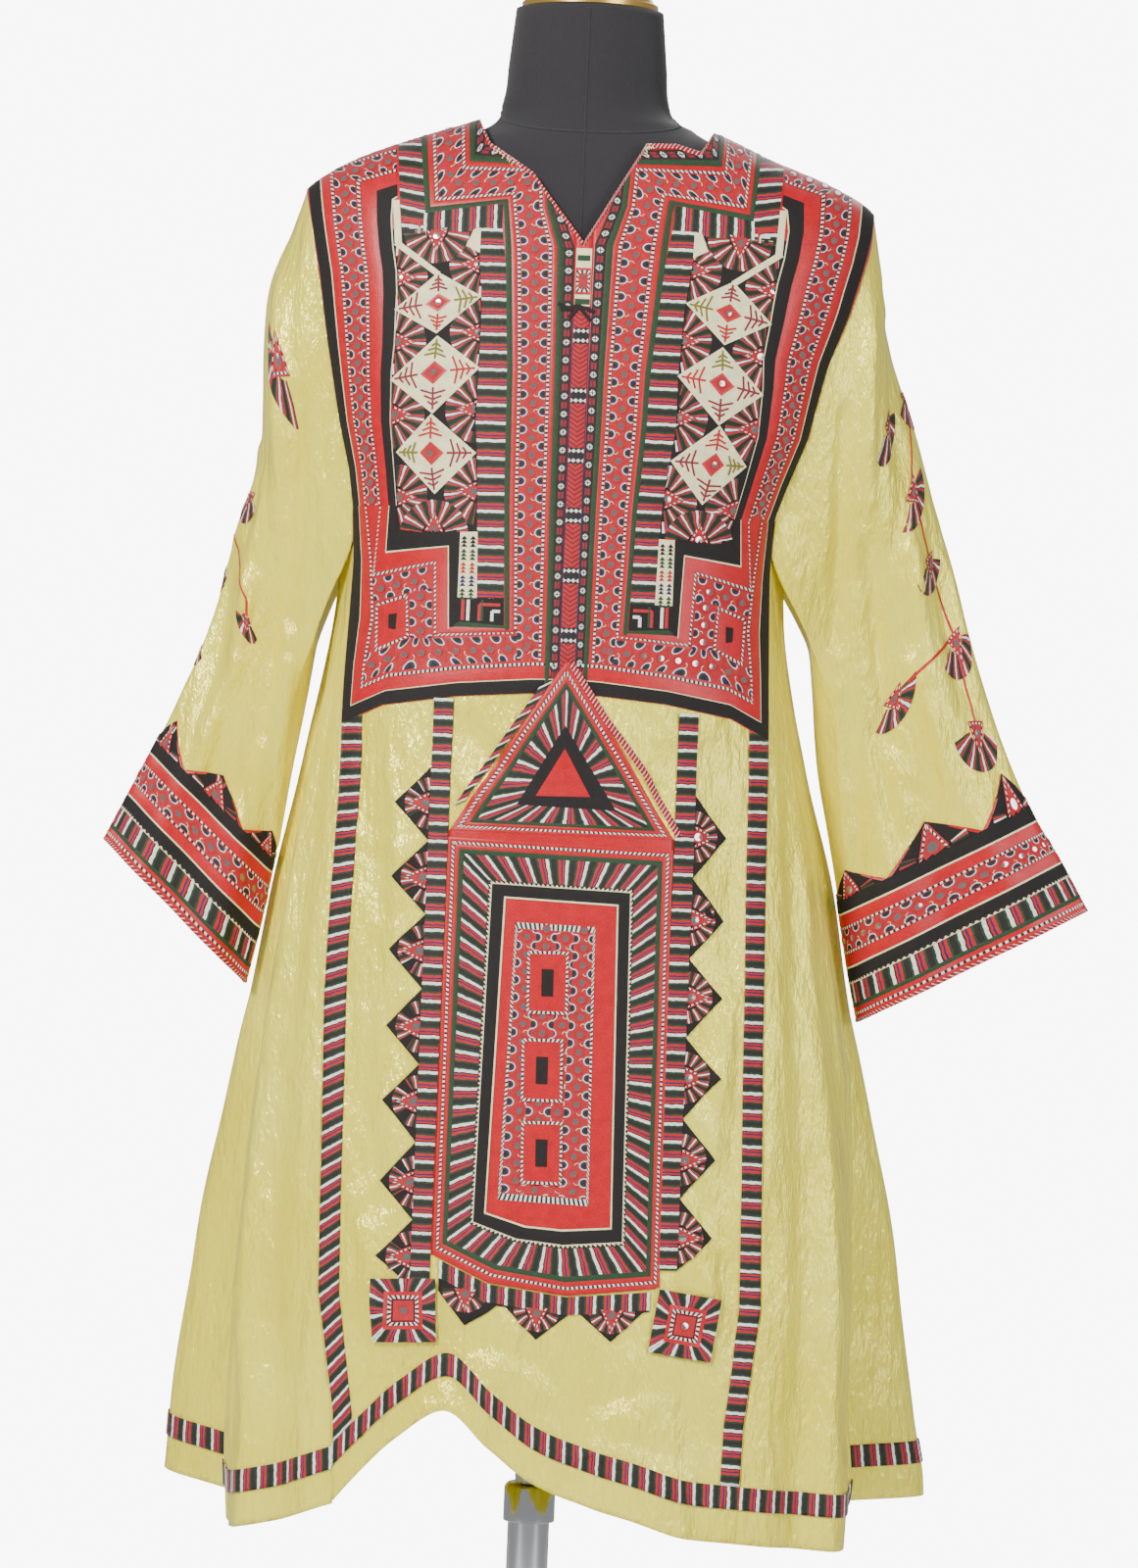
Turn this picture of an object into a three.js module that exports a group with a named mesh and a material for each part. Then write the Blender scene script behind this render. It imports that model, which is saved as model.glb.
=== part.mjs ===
// Embroidered satin dress worn on a limbless dress form with a telescopic stand.
// Millimetres, +Z up, the dress faces -Y, the origin is on the floor under the mast.
import * as THREE from "three";

// Cloth and seams
const CLOTH = 1.6;
const OVERLAY = 1.2;
const SEAM_GAP = 0.4;
const GORE_GAP = 0.7;
const UNDERARM_GAP = 1;
const LAY_GAP = 0.35;
const FORM_GAP = 0.9;
const SHOULDER_GAP = 2.6;
const NECK_LIFT = 0.25;
const lay = LAY_GAP + OVERLAY;

// Front layout: the hem tape runs HEM_RAISE above the hem
const CENTRE_X = 3;
const BIB_BOTTOM = 905;
const HEM_TAPE = 16;
const HEM_RAISE = 24;
const UNDERARM = 1019;
const TOP_Z = 1270;
const LOW_Z = 867;
const NECK_Z = 1326;
const RIPPLE_TOP = 466;
const RIPPLE_FALL = 150;

// Body of the dress: half widths and depths of the level rings, from the hem to the neck
const BODY = [
  { z: 300, left: 254, right: 281, front: 150, back: 150, power: 2.4 },
  { z: 362, left: 254, right: 280, front: 149, back: 148, power: 2.4 },
  { z: 404, left: 253, right: 272, front: 147, back: 145, power: 2.4 },
  { z: 507, left: 245, right: 258, front: 143, back: 136, power: 2.4 },
  { z: 575, left: 237, right: 246, front: 140, back: 130, power: 2.4 },
  { z: 696, left: 219, right: 219, front: 134, back: 118, power: 2.4 },
  { z: 800, left: 199, right: 197, front: 129, back: 108, power: 2.35 },
  { z: 867, left: 186, right: 179, front: 126, back: 102, power: 2.3 },
  { z: 950, left: 170, right: 161, front: 123, back: 96, power: 2.3 },
  { z: 1005, left: 164, right: 156, front: 121, back: 94, power: 2.3 },
  { z: 1060, left: 172, right: 163, front: 120, back: 94, power: 2.3 },
  { z: 1104, left: 184, right: 182, front: 120, back: 95, power: 2.3 },
  { z: 1155, left: 197, right: 198, front: 118, back: 96, power: 2.3 },
  { z: 1197, left: 206, right: 212, front: 113, back: 96, power: 2.3 },
  { z: 1235, left: 210, right: 219, front: 104, back: 93, power: 2.3 },
  { z: 1264, left: 203, right: 213, front: 95, back: 88, power: 2.3 },
  { z: 1276, left: 192, right: 201, front: 90, back: 84, power: 2.3 },
  { z: 1292, left: 166, right: 168, front: 82, back: 79, power: 2.3 },
  { z: 1304, left: 138, right: 136, front: 76, back: 74, power: 2.25 },
  { z: 1314, left: 110, right: 114, front: 70, back: 69, power: 2.2 },
  { z: 1326, left: 76, right: 88, front: 63, back: 62, power: 2.1 },
  { z: 1345, left: 62, right: 66, front: 58, back: 58, power: 2 },
];

// Seam lines of the front panel and of the back panel
const FRONT_EDGE = [
  { z: 300, left: -135, right: 144 },
  { z: 409, left: -139, right: 147 },
  { z: 491, left: -153, right: 156 },
  { z: 699, left: -158, right: 150 },
  { z: 867, left: -154, right: 147 },
  { z: 925, left: -154, right: 145 },
  { z: 1005, left: -151, right: 143 },
  { z: 1044, left: -153, right: 144 },
  { z: 1071, left: -157, right: 153 },
  { z: 1104, left: -165, right: 166 },
  { z: 1155, left: -175, right: 178 },
  { z: 1197, left: -182, right: 194 },
  { z: 1240, left: -190, right: 206 },
  { z: 1270, left: -197, right: 209 },
];
const BACK_EDGE = [
  { z: 300, left: -166, right: 168 },
  { z: 500, left: -160, right: 162 },
  { z: 700, left: -155, right: 153 },
  { z: 900, left: -150, right: 145 },
  { z: 1040, left: -151, right: 144 },
  { z: 1104, left: -168, right: 168 },
  { z: 1197, left: -186, right: 196 },
  { z: 1270, left: -197, right: 209 },
];

// Columns of the panels: x along the pocket and x at the shoulder or neck line
const FRONT_COLUMNS = [
  { low: -154, top: -197 },
  { low: -139, top: -178 },
  { low: -114, top: -154 },
  { low: -90, top: -130 },
  { low: -76, top: -108 },
  { low: -62, top: -90 },
  { low: -50, top: -77 },
  { low: -46, top: -75 },
  { low: -42, top: -74 },
  { low: -37, top: -71 },
  { low: -32, top: -66 },
  { low: -21, top: -35 },
  { low: -11, top: -15 },
  { low: -3, top: -3.6 },
  { low: 3, top: 2.4 },
  { low: 9, top: 8.4 },
  { low: 20, top: 26 },
  { low: 31, top: 44 },
  { low: 43, top: 65 },
  { low: 53, top: 82 },
  { low: 58, top: 86.5 },
  { low: 62, top: 89.3 },
  { low: 66, top: 92 },
  { low: 71, top: 95.5 },
  { low: 83, top: 114 },
  { low: 98, top: 140 },
  { low: 117, top: 165 },
  { low: 133, top: 189 },
  { low: 147, top: 209 },
];
const PLACKET_FROM = 13;
const PLACKET_TO = 15;
const BACK_COLUMNS = [
  { low: -150, top: -197 },
  { low: -124, top: -165 },
  { low: -98, top: -134 },
  { low: -76, top: -105 },
  { low: -53, top: -77 },
  { low: -48, top: -75 },
  { low: -43, top: -73 },
  { low: -33, top: -64 },
  { low: -15, top: -34 },
  { low: 4, top: 8 },
  { low: 26, top: 48 },
  { low: 42, top: 78 },
  { low: 48, top: 88 },
  { low: 53, top: 91 },
  { low: 59, top: 95.5 },
  { low: 76, top: 116 },
  { low: 96, top: 142 },
  { low: 120, top: 172 },
  { low: 145, top: 209 },
];

// Neck line of the front between its two shoulder points, and of the back
const NECK_LEFT = -76;
const NECK_RIGHT = 93;
const FRONT_NECK = [
  { x: -75, z: 1325 },
  { x: -74, z: 1321 },
  { x: -71, z: 1313 },
  { x: -66, z: 1303 },
  { x: -35, z: 1282 },
  { x: -15, z: 1255 },
  { x: 2.4, z: 1233 },
  { x: 44, z: 1307 },
  { x: 65, z: 1308 },
  { x: 82, z: 1303 },
  { x: 86.5, z: 1310 },
  { x: 89.3, z: 1316.5 },
  { x: 92, z: 1321.5 },
];
const BACK_NECK = [
  { x: -75, z: 1325 },
  { x: -73, z: 1322 },
  { x: -64, z: 1317 },
  { x: -34, z: 1314 },
  { x: 8, z: 1312 },
  { x: 48, z: 1313 },
  { x: 78, z: 1315 },
  { x: 88, z: 1319 },
  { x: 91, z: 1322 },
];

// Hem heights across the front panel, across each gore and across the back
const FRONT_HEM = [
  { x: -140, z: 345 },
  { x: -125, z: 362 },
  { x: -94, z: 393 },
  { x: -60, z: 414 },
  { x: -30, z: 389 },
  { x: -1, z: 367 },
  { x: 43, z: 350 },
  { x: 75, z: 342 },
  { x: 108, z: 332 },
  { x: 147, z: 328 },
];
const LEFT_HEM = [
  { s: 0, z: 345 },
  { s: 0.14, z: 328 },
  { s: 0.34, z: 317 },
  { s: 0.5, z: 335 },
  { s: 0.68, z: 352 },
  { s: 1, z: 350 },
];
const RIGHT_HEM = [
  { s: 0, z: 328 },
  { s: 0.2, z: 322 },
  { s: 0.36, z: 322 },
  { s: 0.48, z: 342 },
  { s: 0.66, z: 350 },
  { s: 1, z: 350 },
];
const BACK_HEM = [
  { x: -166, z: 350 },
  { x: -130, z: 354 },
  { x: -94, z: 382 },
  { x: -60, z: 398 },
  { x: -30, z: 384 },
  { x: 0, z: 362 },
  { x: 50, z: 351 },
  { x: 168, z: 350 },
];
const HEM_LOOK = 380;

// Pleats of the gores: place and width as shares of the gore, inward depth at the hem, height of the top
const LEFT_PLEATS = [
  { at: 0.13, width: 0.16, depth: 9, top: 1005 },
  { at: 0.27, width: 0.14, depth: 9, top: 1005 },
  { at: 0.38, width: 0.34, depth: 31, top: 1005 },
  { at: 0.5, width: 0.24, depth: 38, top: 1005 },
  { at: 0.63, width: 0.26, depth: -15, top: 690 },
  { at: 0.75, width: 0.15, depth: 13, top: 1005 },
  { at: 0.89, width: 0.15, depth: 11, top: 1005 },
];
const RIGHT_PLEATS = [
  { at: 0.12, width: 0.15, depth: 10, top: 1005 },
  { at: 0.25, width: 0.15, depth: 8, top: 1005 },
  { at: 0.37, width: 0.32, depth: 12, top: 1005 },
  { at: 0.36, width: 0.34, depth: 38, top: 650 },
  { at: 0.49, width: 0.24, depth: 40, top: 1005 },
  { at: 0.48, width: 0.22, depth: 36, top: 650 },
  { at: 0.62, width: 0.26, depth: -9, top: 690 },
  { at: 0.74, width: 0.15, depth: 12, top: 1005 },
  { at: 0.88, width: 0.16, depth: 12, top: 1005 },
];
const PLEAT_FULL = 315;
const PLEAT_SWELL = 0.8;

// Soft waves of the front and back panels above the hem
const FRONT_WAVES = [
  { x: -96, width: 62, depth: -9 },
  { x: -52, width: 60, depth: 10 },
  { x: 20, width: 90, depth: -6 },
  { x: 92, width: 80, depth: 7 },
];
const BACK_WAVES = [
  { x: -110, width: 90, depth: 9 },
  { x: -20, width: 110, depth: -9 },
  { x: 85, width: 100, depth: 9 },
];

// Sleeves: the outer and inner edge of each ring, its depth and its place in Y
const LEFT_SLEEVE = [
  { s: 0, outX: -204, outZ: 1264, inX: -166, inZ: 1020, deep: 50, y: -4 },
  { s: 0.16, outX: -229, outZ: 1177, inX: -174, inZ: 982, deep: 44, y: -2 },
  { s: 0.34, outX: -232, outZ: 1077, inX: -181, inZ: 930, deep: 36, y: 2 },
  { s: 0.52, outX: -248, outZ: 992, inX: -189, inZ: 870, deep: 29, y: 5 },
  { s: 0.66, outX: -266, outZ: 927, inX: -196, inZ: 826, deep: 24, y: 6 },
  { s: 0.79, outX: -290, outZ: 872, inX: -203, inZ: 790, deep: 20, y: 6 },
  { s: 0.9, outX: -308, outZ: 834, inX: -211, inZ: 742, deep: 17, y: 6 },
  { s: 1, outX: -325, outZ: 799, inX: -220, inZ: 700, deep: 15, y: 6 },
];
const RIGHT_SLEEVE = [
  { s: 0, outX: 217, outZ: 1257, inX: 158, inZ: 1020, deep: 50, y: -4 },
  { s: 0.16, outX: 232, outZ: 1176, inX: 172, inZ: 982, deep: 44, y: -2 },
  { s: 0.34, outX: 255, outZ: 1090, inX: 180, inZ: 930, deep: 36, y: 2 },
  { s: 0.52, outX: 280, outZ: 1010, inX: 186, inZ: 868, deep: 29, y: 5 },
  { s: 0.66, outX: 304, outZ: 930, inX: 196, inZ: 820, deep: 24, y: 2 },
  { s: 0.79, outX: 338, outZ: 850, inX: 204, inZ: 776, deep: 20, y: 0 },
  { s: 0.9, outX: 362, outZ: 812, inX: 213, inZ: 730, deep: 17, y: -1 },
  { s: 1, outX: 383, outZ: 776, inX: 222, inZ: 690, deep: 14, y: -1 },
];
const SLEEVE_ROWS = [0, 0.05, 0.12, 0.21, 0.32, 0.44, 0.56, 0.68, 0.79, 0.86, 0.93, 1];
const SLEEVE_BLEND = 0.55;
const SLEEVE_OVAL = 0.8;
const ARMHOLE_FOOT = 8;
const CUFF_ROW = 8;
const TOOTH_COLUMNS = 4;
const TOOTH_SHARE = 0.05;
const TOOTH_LIFT = 0.5;
const SLEEVE_FOLDS = 3;
const SLEEVE_FOLD_DEPTH = 4;

// Long pocket with a pointed top and the bands round it
const POCKET_APEX = 939;
const POCKET_SHOULDER = 816;
const POCKET_LEFT = -75;
const POCKET_RIGHT = 82;
const POCKET_BASE = 503;
const POCKET_LEVELS = [503, 560, 620, 680, 740, 780, 816, 838, 860, 882, 905, 922, 939];
const APEX_HALF = 1.5;
const APEX_LIFT = OVERLAY + LAY_GAP + 0.35;
const BAND_WIDTH = 14;
const BAND_TOP = 902;
const TOOTH_OUT = 24;
const LEFT_TIPS = [835, 783, 732, 679, 627, 571, 519];
const RIGHT_TIPS = [819, 761, 707, 651, 594, 540];
const SQUARE_SIDE = 44;
const LEFT_SQUARE = { x: -92, z: 482, turn: 0.05, layers: 2 };
const RIGHT_SQUARE = { x: 103, z: 479, turn: -0.15, layers: 1 };
const BOTTOM_TIPS = [-50, 0, 52];
const BOTTOM_TOOTH_OUT = 20;
const BOTTOM_TOOTH_HALF = 22;
const BOTTOM_LEFT = -69;
const BOTTOM_RIGHT = 78;

// Rows and columns of the grids; rows close up over the shoulder
const UPPER_SHARES = [0, 0.12, 0.24, 0.36, 0.48, 0.59, 0.69, 0.78, 0.86, 0.92, 0.965, 1];
const LOWER_LEVELS = [474, 503, 600, 700, 800, 860];
const COLUMN_STEPS = 80;
const GORE_COLUMNS = 24;
const GORE_LEVELS = [...LOWER_LEVELS, BIB_BOTTOM, 944, 982, UNDERARM - GORE_GAP];
const GORE_STEPS = 90;
const TAPE_ROW = 1;
const NECK_ROWS = 3;

// Dress form: half width and depths of its level rings
const FORM = [
  { z: 648, half: 150, front: 92, back: 98 },
  { z: 700, half: 160, front: 100, back: 104 },
  { z: 760, half: 164, front: 104, back: 106 },
  { z: 830, half: 154, front: 100, back: 98 },
  { z: 900, half: 128, front: 88, back: 82 },
  { z: 945, half: 119, front: 84, back: 74 },
  { z: 1000, half: 128, front: 92, back: 76 },
  { z: 1060, half: 146, front: 104, back: 84 },
  { z: 1110, half: 158, front: 114, back: 90 },
  { z: 1160, half: 168, front: 116, back: 94 },
  { z: 1200, half: 176, front: 112, back: 94 },
  { z: 1240, half: 186, front: 102, back: 90 },
  { z: 1268, half: 190, front: 92, back: 84 },
  { z: 1300, half: 150, front: 76, back: 73 },
  { z: 1318, half: 96, front: 62, back: 62 },
  { z: 1330, half: 66, front: 55, back: 57 },
  { z: 1345, half: 59, front: 52, back: 54 },
  { z: 1367, half: 57, front: 51, back: 52 },
  { z: 1408, half: 53, front: 50, back: 50 },
];
const FORM_LEVELS = [
  652, 720, 790, 860, 940, 1010, 1080, 1135, 1180, 1215, 1243, 1262, 1276, 1290, 1302, 1312, 1321, 1330, 1342, 1362,
  1408,
];
const FORM_SIDES = 26;
const FORM_POWER = 2.3;
const NECK_ROUND_FROM = 1300;
const NECK_ROUND_OVER = 40;
const SHOULDER_FROM = 1200;
const SHOULDER_TO = 1250;

// Stand
const MAST_RADIUS = 11;
const RUNNING_GAP = 0.4;
const MAST_BOTTOM = 60;
const SOCKET_TOP = 730;
const LOWER_RADIUS = 15;
const LOWER_TOP = 338;
const COLLAR_RADIUS = 18.5;
const COLLAR_BOTTOM = 322;
const COLLAR_TOP = 350;
const BASE_RADIUS = 172;
const BASE_HEIGHT = 12;
const BOSS_RADIUS = 22;
const BOSS_TOP = 26;
const SOCKET_FLOOR = 7;
const CAP_RADIUS = 49;
const CAP_BOTTOM = 1408.4;
const CAP_TOP = 1430;
const ROUND_SIDES = 32;

// Colours, as red, green and blue in hexadecimal
const SATIN = { color: 0xefe796, roughness: 0.42, metalness: 0 };
const RED_THREAD = { color: 0xd6384a, roughness: 0.8, metalness: 0 };
const DARK_THREAD = { color: 0x2a1a1c, roughness: 0.85, metalness: 0 };
const STRIPE_THREAD = { color: 0x8a4a4a, roughness: 0.8, metalness: 0 };
const FORM_CLOTH = { color: 0x2b2a2c, roughness: 0.95, metalness: 0 };
const CHROME = { color: 0xc9ccd0, roughness: 0.15, metalness: 1 };
const BRASS = { color: 0xc9a24a, roughness: 0.35, metalness: 0.8 };

// Smooth value of one column of a table, by its key column
function tabled(rows, key, column, at) {
  const last = rows.length - 1;
  if (at <= rows[0][key]) return rows[0][column];
  if (at >= rows[last][key]) return rows[last][column];
  let i = 0;
  while (rows[i + 1][key] < at) i += 1;
  const slope = (a, b) => (rows[b][column] - rows[a][column]) / (rows[b][key] - rows[a][key]);
  const step = rows[i + 1][key] - rows[i][key];
  const here = slope(i, i + 1);
  const calm = (m) => (m * here <= 0 ? 0 : Math.sign(here) * Math.min(Math.abs(m), 2.5 * Math.abs(here)));
  const before = i > 0 ? calm((slope(i - 1, i) + here) / 2) : here;
  const after = i + 1 < last ? calm((slope(i + 1, i + 2) + here) / 2) : here;
  const t = (at - rows[i][key]) / step;
  const u = 1 - t;
  return (
    rows[i][column] * (1 + 2 * t) * u * u +
    rows[i + 1][column] * t * t * (3 - 2 * t) +
    step * (before * t * u * u - after * t * t * u)
  );
}

// Straight-lined value of a table
function linear(rows, key, column, at) {
  const last = rows.length - 1;
  if (at <= rows[0][key]) return rows[0][column];
  if (at >= rows[last][key]) return rows[last][column];
  let i = 0;
  while (rows[i + 1][key] < at) i += 1;
  const t = (at - rows[i][key]) / (rows[i + 1][key] - rows[i][key]);
  return THREE.MathUtils.lerp(rows[i][column], rows[i + 1][column], t);
}

// Rows run up the piece and columns across it
const byRows = (columns) => columns[0].map((_, i) => columns.map((column) => column[i]));

// Soft hump from 0 to 1 and back, one width wide
function hump(distance, width) {
  const t = Math.min(1, Math.abs((2 * distance) / width));
  return 0.5 + 0.5 * Math.cos(Math.PI * t);
}

const bodyAt = (column, z) => tabled(BODY, "z", column, z);

// The side that faces away: -1 for the front, +1 for the back
const FRONT = -1;
const BACK = 1;

// Y of the dress at x and z, on the front or the back
function bodyY(x, z, face) {
  const half = bodyAt(x < CENTRE_X ? "left" : "right", z);
  const depth = bodyAt(face === FRONT ? "front" : "back", z);
  const power = bodyAt("power", z);
  const share = Math.min(1, Math.abs(x) / half);
  return face * depth * (1 - share ** power) ** (1 / power);
}

// Waves that grow from RIPPLE_TOP down to the hem
function waveY(x, z, face) {
  const rows = face === FRONT ? FRONT_WAVES : BACK_WAVES;
  const grow = THREE.MathUtils.smoothstep(RIPPLE_TOP - z, 0, RIPPLE_FALL);
  return face * grow * rows.reduce((sum, w) => sum + w.depth * hump(x - w.x, w.width), 0);
}

// Outward direction of the dress body at a point
function bodyNormal(p) {
  const value = (x, y, z) => {
    const half = bodyAt(x < CENTRE_X ? "left" : "right", z);
    const depth = bodyAt(y < 0 ? "front" : "back", z);
    const power = bodyAt("power", z);
    return (Math.abs(x) / half) ** power + (Math.abs(y) / depth) ** power;
  };
  const h = 0.5;
  return new THREE.Vector3(
    value(p.x + h, p.y, p.z) - value(p.x - h, p.y, p.z),
    value(p.x, p.y + h, p.z) - value(p.x, p.y - h, p.z),
    value(p.x, p.y, p.z + h) - value(p.x, p.y, p.z - h),
  ).normalize();
}

// A point of a grid with its outward direction
const knot = (p) => ({ p, n: bodyNormal(p) });

// Points spaced along a polyline by shares of its length, stopping short of its end
function spaced(line, shares, short) {
  const run = [0];
  for (let i = 1; i < line.length; i += 1) run.push(run[i - 1] + line[i].distanceTo(line[i - 1]));
  const length = run[run.length - 1] - short;
  return shares.map((share) => {
    const at = share * length;
    let i = 0;
    while (i < line.length - 2 && run[i + 1] < at) i += 1;
    return line[i].clone().lerp(line[i + 1], (at - run[i]) / (run[i + 1] - run[i]));
  });
}

// A column of a panel over the shoulder, from z low up to its neck or shoulder line
function upperColumn(xAt, neckZ, face) {
  let top = neckZ;
  if (top === null) {
    top = NECK_Z;
    const outside = (z) => Math.abs(xAt(z)) >= bodyAt(xAt(z) < 0 ? "left" : "right", z);
    while (outside(top)) top -= 0.05;
  }
  const line = [];
  for (let i = 0; i <= COLUMN_STEPS; i += 1) {
    const t = 1 - i / COLUMN_STEPS;
    const z = top - (top - BIB_BOTTOM) * t * t;
    const x = xAt(z);
    line.push(new THREE.Vector3(x, bodyY(x, z, face), z));
  }
  if (neckZ === null) {
    const end = line[line.length - 1].clone();
    end.y = 0;
    line.push(end);
  }
  return spaced(line, UPPER_SHARES, neckZ === null ? SEAM_GAP / 2 : 0);
}

// Height of a neck line at x, or null where the column runs to the shoulder seam
function neckHeight(rows, x) {
  if (x < NECK_LEFT || x > NECK_RIGHT) return null;
  return linear(rows, "x", "z", x);
}

function panelColumn(columnX, neckZ, hem, face) {
  const lower = [hem, hem + HEM_RAISE, hem + HEM_RAISE + HEM_TAPE, ...LOWER_LEVELS].map((z) => {
    const x = columnX(z);
    return new THREE.Vector3(x, bodyY(x, z, face) + waveY(x, z, face), z);
  });
  return [...lower, ...upperColumn(columnX, neckZ, face)].map(knot);
}

// A column keeps its share of the way to the panel's edge, which changes over the bib
function columnOf(edges, neck, hemAt, face) {
  return ({ low, top }) => {
    const edge = (z) => linear(edges, "z", low < CENTRE_X ? "left" : "right", z) - CENTRE_X;
    const lowShare = (low - CENTRE_X) / edge(LOW_Z);
    const topShare = (top - CENTRE_X) / edge(TOP_Z);
    const columnX = (z) => {
      const t = THREE.MathUtils.clamp((z - BIB_BOTTOM) / (TOP_Z - BIB_BOTTOM), 0, 1);
      return CENTRE_X + THREE.MathUtils.lerp(lowShare, topShare, t) * edge(z);
    };
    return panelColumn(columnX, neckHeight(neck, top), hemAt(columnX(HEM_LOOK)), face);
  };
}

const frontColumn = columnOf(FRONT_EDGE, FRONT_NECK, (x) => tabled(FRONT_HEM, "x", "z", x), FRONT);
const backColumn = columnOf(BACK_EDGE, BACK_NECK, (x) => tabled(BACK_HEM, "x", "z", x), BACK);

// Point of a level ring from the front seam round the side to the back seam
function ringPoint(side, z, angle) {
  const half = bodyAt(side < 0 ? "left" : "right", z);
  const depth = bodyAt(angle > 0 ? "front" : "back", z);
  const power = bodyAt("power", z);
  const x = side * half * Math.cos(angle) ** (2 / power);
  const y = -Math.sign(angle) * depth * Math.abs(Math.sin(angle)) ** (2 / power);
  return new THREE.Vector3(x, y, z);
}

// Point of a gore at share s of its width, on the level z
function gorePoint(side, s, z) {
  const name = side < 0 ? "left" : "right";
  const power = bodyAt("power", z);
  const angleAt = (rows) => {
    const x = Math.abs(linear(rows, "z", name, z));
    return Math.acos((x / bodyAt(name, z)) ** (power / 2));
  };
  const from = angleAt(FRONT_EDGE);
  const to = -angleAt(BACK_EDGE);
  const line = [];
  for (let i = 0; i <= GORE_STEPS; i += 1) {
    line.push(ringPoint(side, z, THREE.MathUtils.lerp(from, to, i / GORE_STEPS)));
  }
  const length = line.reduce((sum, p, i) => sum + (i ? p.distanceTo(line[i - 1]) : 0), 0);
  const trim = GORE_GAP / length;
  const [p] = spaced(line, [trim + (1 - 2 * trim) * s], 0);
  const pleats = side < 0 ? LEFT_PLEATS : RIGHT_PLEATS;
  const fall = (top) => THREE.MathUtils.clamp((top - z) / (top - PLEAT_FULL), 0, 1) ** PLEAT_SWELL;
  const deep = pleats.reduce((sum, w) => sum + fall(w.top) * w.depth * hump(s - w.at, w.width), 0);
  const n = bodyNormal(p).setZ(0).normalize();
  return p.addScaledVector(n, -deep).setZ(z);
}

function goreGrid(side) {
  const hems = side < 0 ? LEFT_HEM : RIGHT_HEM;
  const columns = [];
  for (let j = 0; j <= GORE_COLUMNS; j += 1) {
    const s = j / GORE_COLUMNS;
    const hem = tabled(hems, "s", "z", s);
    const levels = [hem, hem + HEM_RAISE, hem + HEM_RAISE + HEM_TAPE, ...GORE_LEVELS];
    columns.push(levels.map((z) => gorePoint(side, s, z)));
  }
  const grid = faced(withNormals(byRows(columns), false), 4, 2, new THREE.Vector3(side * 0.5, -1, 0));
  grid.forEach((row) => {
    row[0].n = bodyNormal(row[0].p);
    row[GORE_COLUMNS].n = bodyNormal(row[GORE_COLUMNS].p);
  });
  return grid;
}

// Outward directions of a grid, by the points round each one
function withNormals(rows, closed) {
  const columns = rows[0].length;
  return rows.map((row, i) =>
    row.map((p, j) => {
      const down = rows[Math.max(0, i - 1)][j];
      const up = rows[Math.min(rows.length - 1, i + 1)][j];
      const back = closed ? row[(j + columns - 1) % columns] : row[Math.max(0, j - 1)];
      const next = closed ? row[(j + 1) % columns] : row[Math.min(columns - 1, j + 1)];
      const n = next.clone().sub(back).cross(up.clone().sub(down)).normalize();
      return { p, n };
    }),
  );
}

// Turns a grid's directions so that they point the same way as a given one does
function faced(grid, i, j, way) {
  const sign = Math.sign(grid[i][j].n.dot(way));
  grid.forEach((row) => row.forEach((k) => k.n.multiplyScalar(sign)));
  return grid;
}

// Closed wall on a grid of rows: from `lift` outside its points down to `lift - thickness`
function wall(grid, thickness, lift = 0, closed = false) {
  const rows = grid.length;
  const columns = grid[0].length;
  const points = [];
  const liftAt = typeof lift === "function" ? lift : () => lift;
  [0, thickness].forEach((inward) => {
    grid.forEach((row, i) =>
      row.forEach(({ p, n }, j) => {
        points.push(p.clone().addScaledVector(n, liftAt(i, j) - inward));
      }),
    );
  });
  const inner = rows * columns;
  const at = (i, j) => i * columns + (j % columns);
  const index = [];
  const quad = (a, b, c, d) => index.push(a, b, c, a, c, d);
  const across = closed ? columns : columns - 1;
  for (let i = 0; i < rows - 1; i += 1) {
    for (let j = 0; j < across; j += 1) {
      quad(at(i, j), at(i, j + 1), at(i + 1, j + 1), at(i + 1, j));
      quad(inner + at(i, j), inner + at(i + 1, j), inner + at(i + 1, j + 1), inner + at(i, j + 1));
    }
  }
  for (let j = 0; j < across; j += 1) {
    quad(at(0, j), inner + at(0, j), inner + at(0, j + 1), at(0, j + 1));
    const end = rows - 1;
    quad(at(end, j), at(end, j + 1), inner + at(end, j + 1), inner + at(end, j));
  }
  for (let i = 0; i < rows - 1 && !closed; i += 1) {
    quad(at(i, 0), at(i + 1, 0), inner + at(i + 1, 0), inner + at(i, 0));
    const side = columns - 1;
    quad(at(i, side), inner + at(i, side), inner + at(i + 1, side), at(i + 1, side));
  }
  return outward(points, index);
}

// Geometry whose faces point out
function outward(points, index) {
  let volume = 0;
  for (let i = 0; i < index.length; i += 3) {
    const [a, b, c] = [points[index[i]], points[index[i + 1]], points[index[i + 2]]];
    volume += a.dot(b.clone().cross(c));
  }
  if (volume < 0) {
    for (let i = 0; i < index.length; i += 3) [index[i], index[i + 1]] = [index[i + 1], index[i]];
  }
  const geometry = new THREE.BufferGeometry().setFromPoints(points);
  geometry.setIndex(index);
  geometry.computeVertexNormals();
  return geometry;
}

// Rows and columns of a grid, drawn in by a seam gap at chosen sides
function part(grid, rowFrom, rowTo, from, to, gaps = {}) {
  const rows = grid.slice(rowFrom, rowTo + 1).map((row) => row.slice(from, to + 1));
  const nudge = (a, b, by) => {
    const share = by / Math.max(by * 2, a.p.distanceTo(b.p));
    return { p: a.p.clone().lerp(b.p, share), n: a.n };
  };
  return rows.map((row, i) =>
    row.map((k, j) => {
      let made = k;
      if (gaps.left && j === 0) made = nudge(made, row[1], gaps.left);
      if (gaps.right && j === row.length - 1) made = nudge(made, row[j - 1], gaps.right);
      if (gaps.low && i === 0) made = nudge(made, rows[1][j], gaps.low);
      return made;
    }),
  );
}

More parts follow.
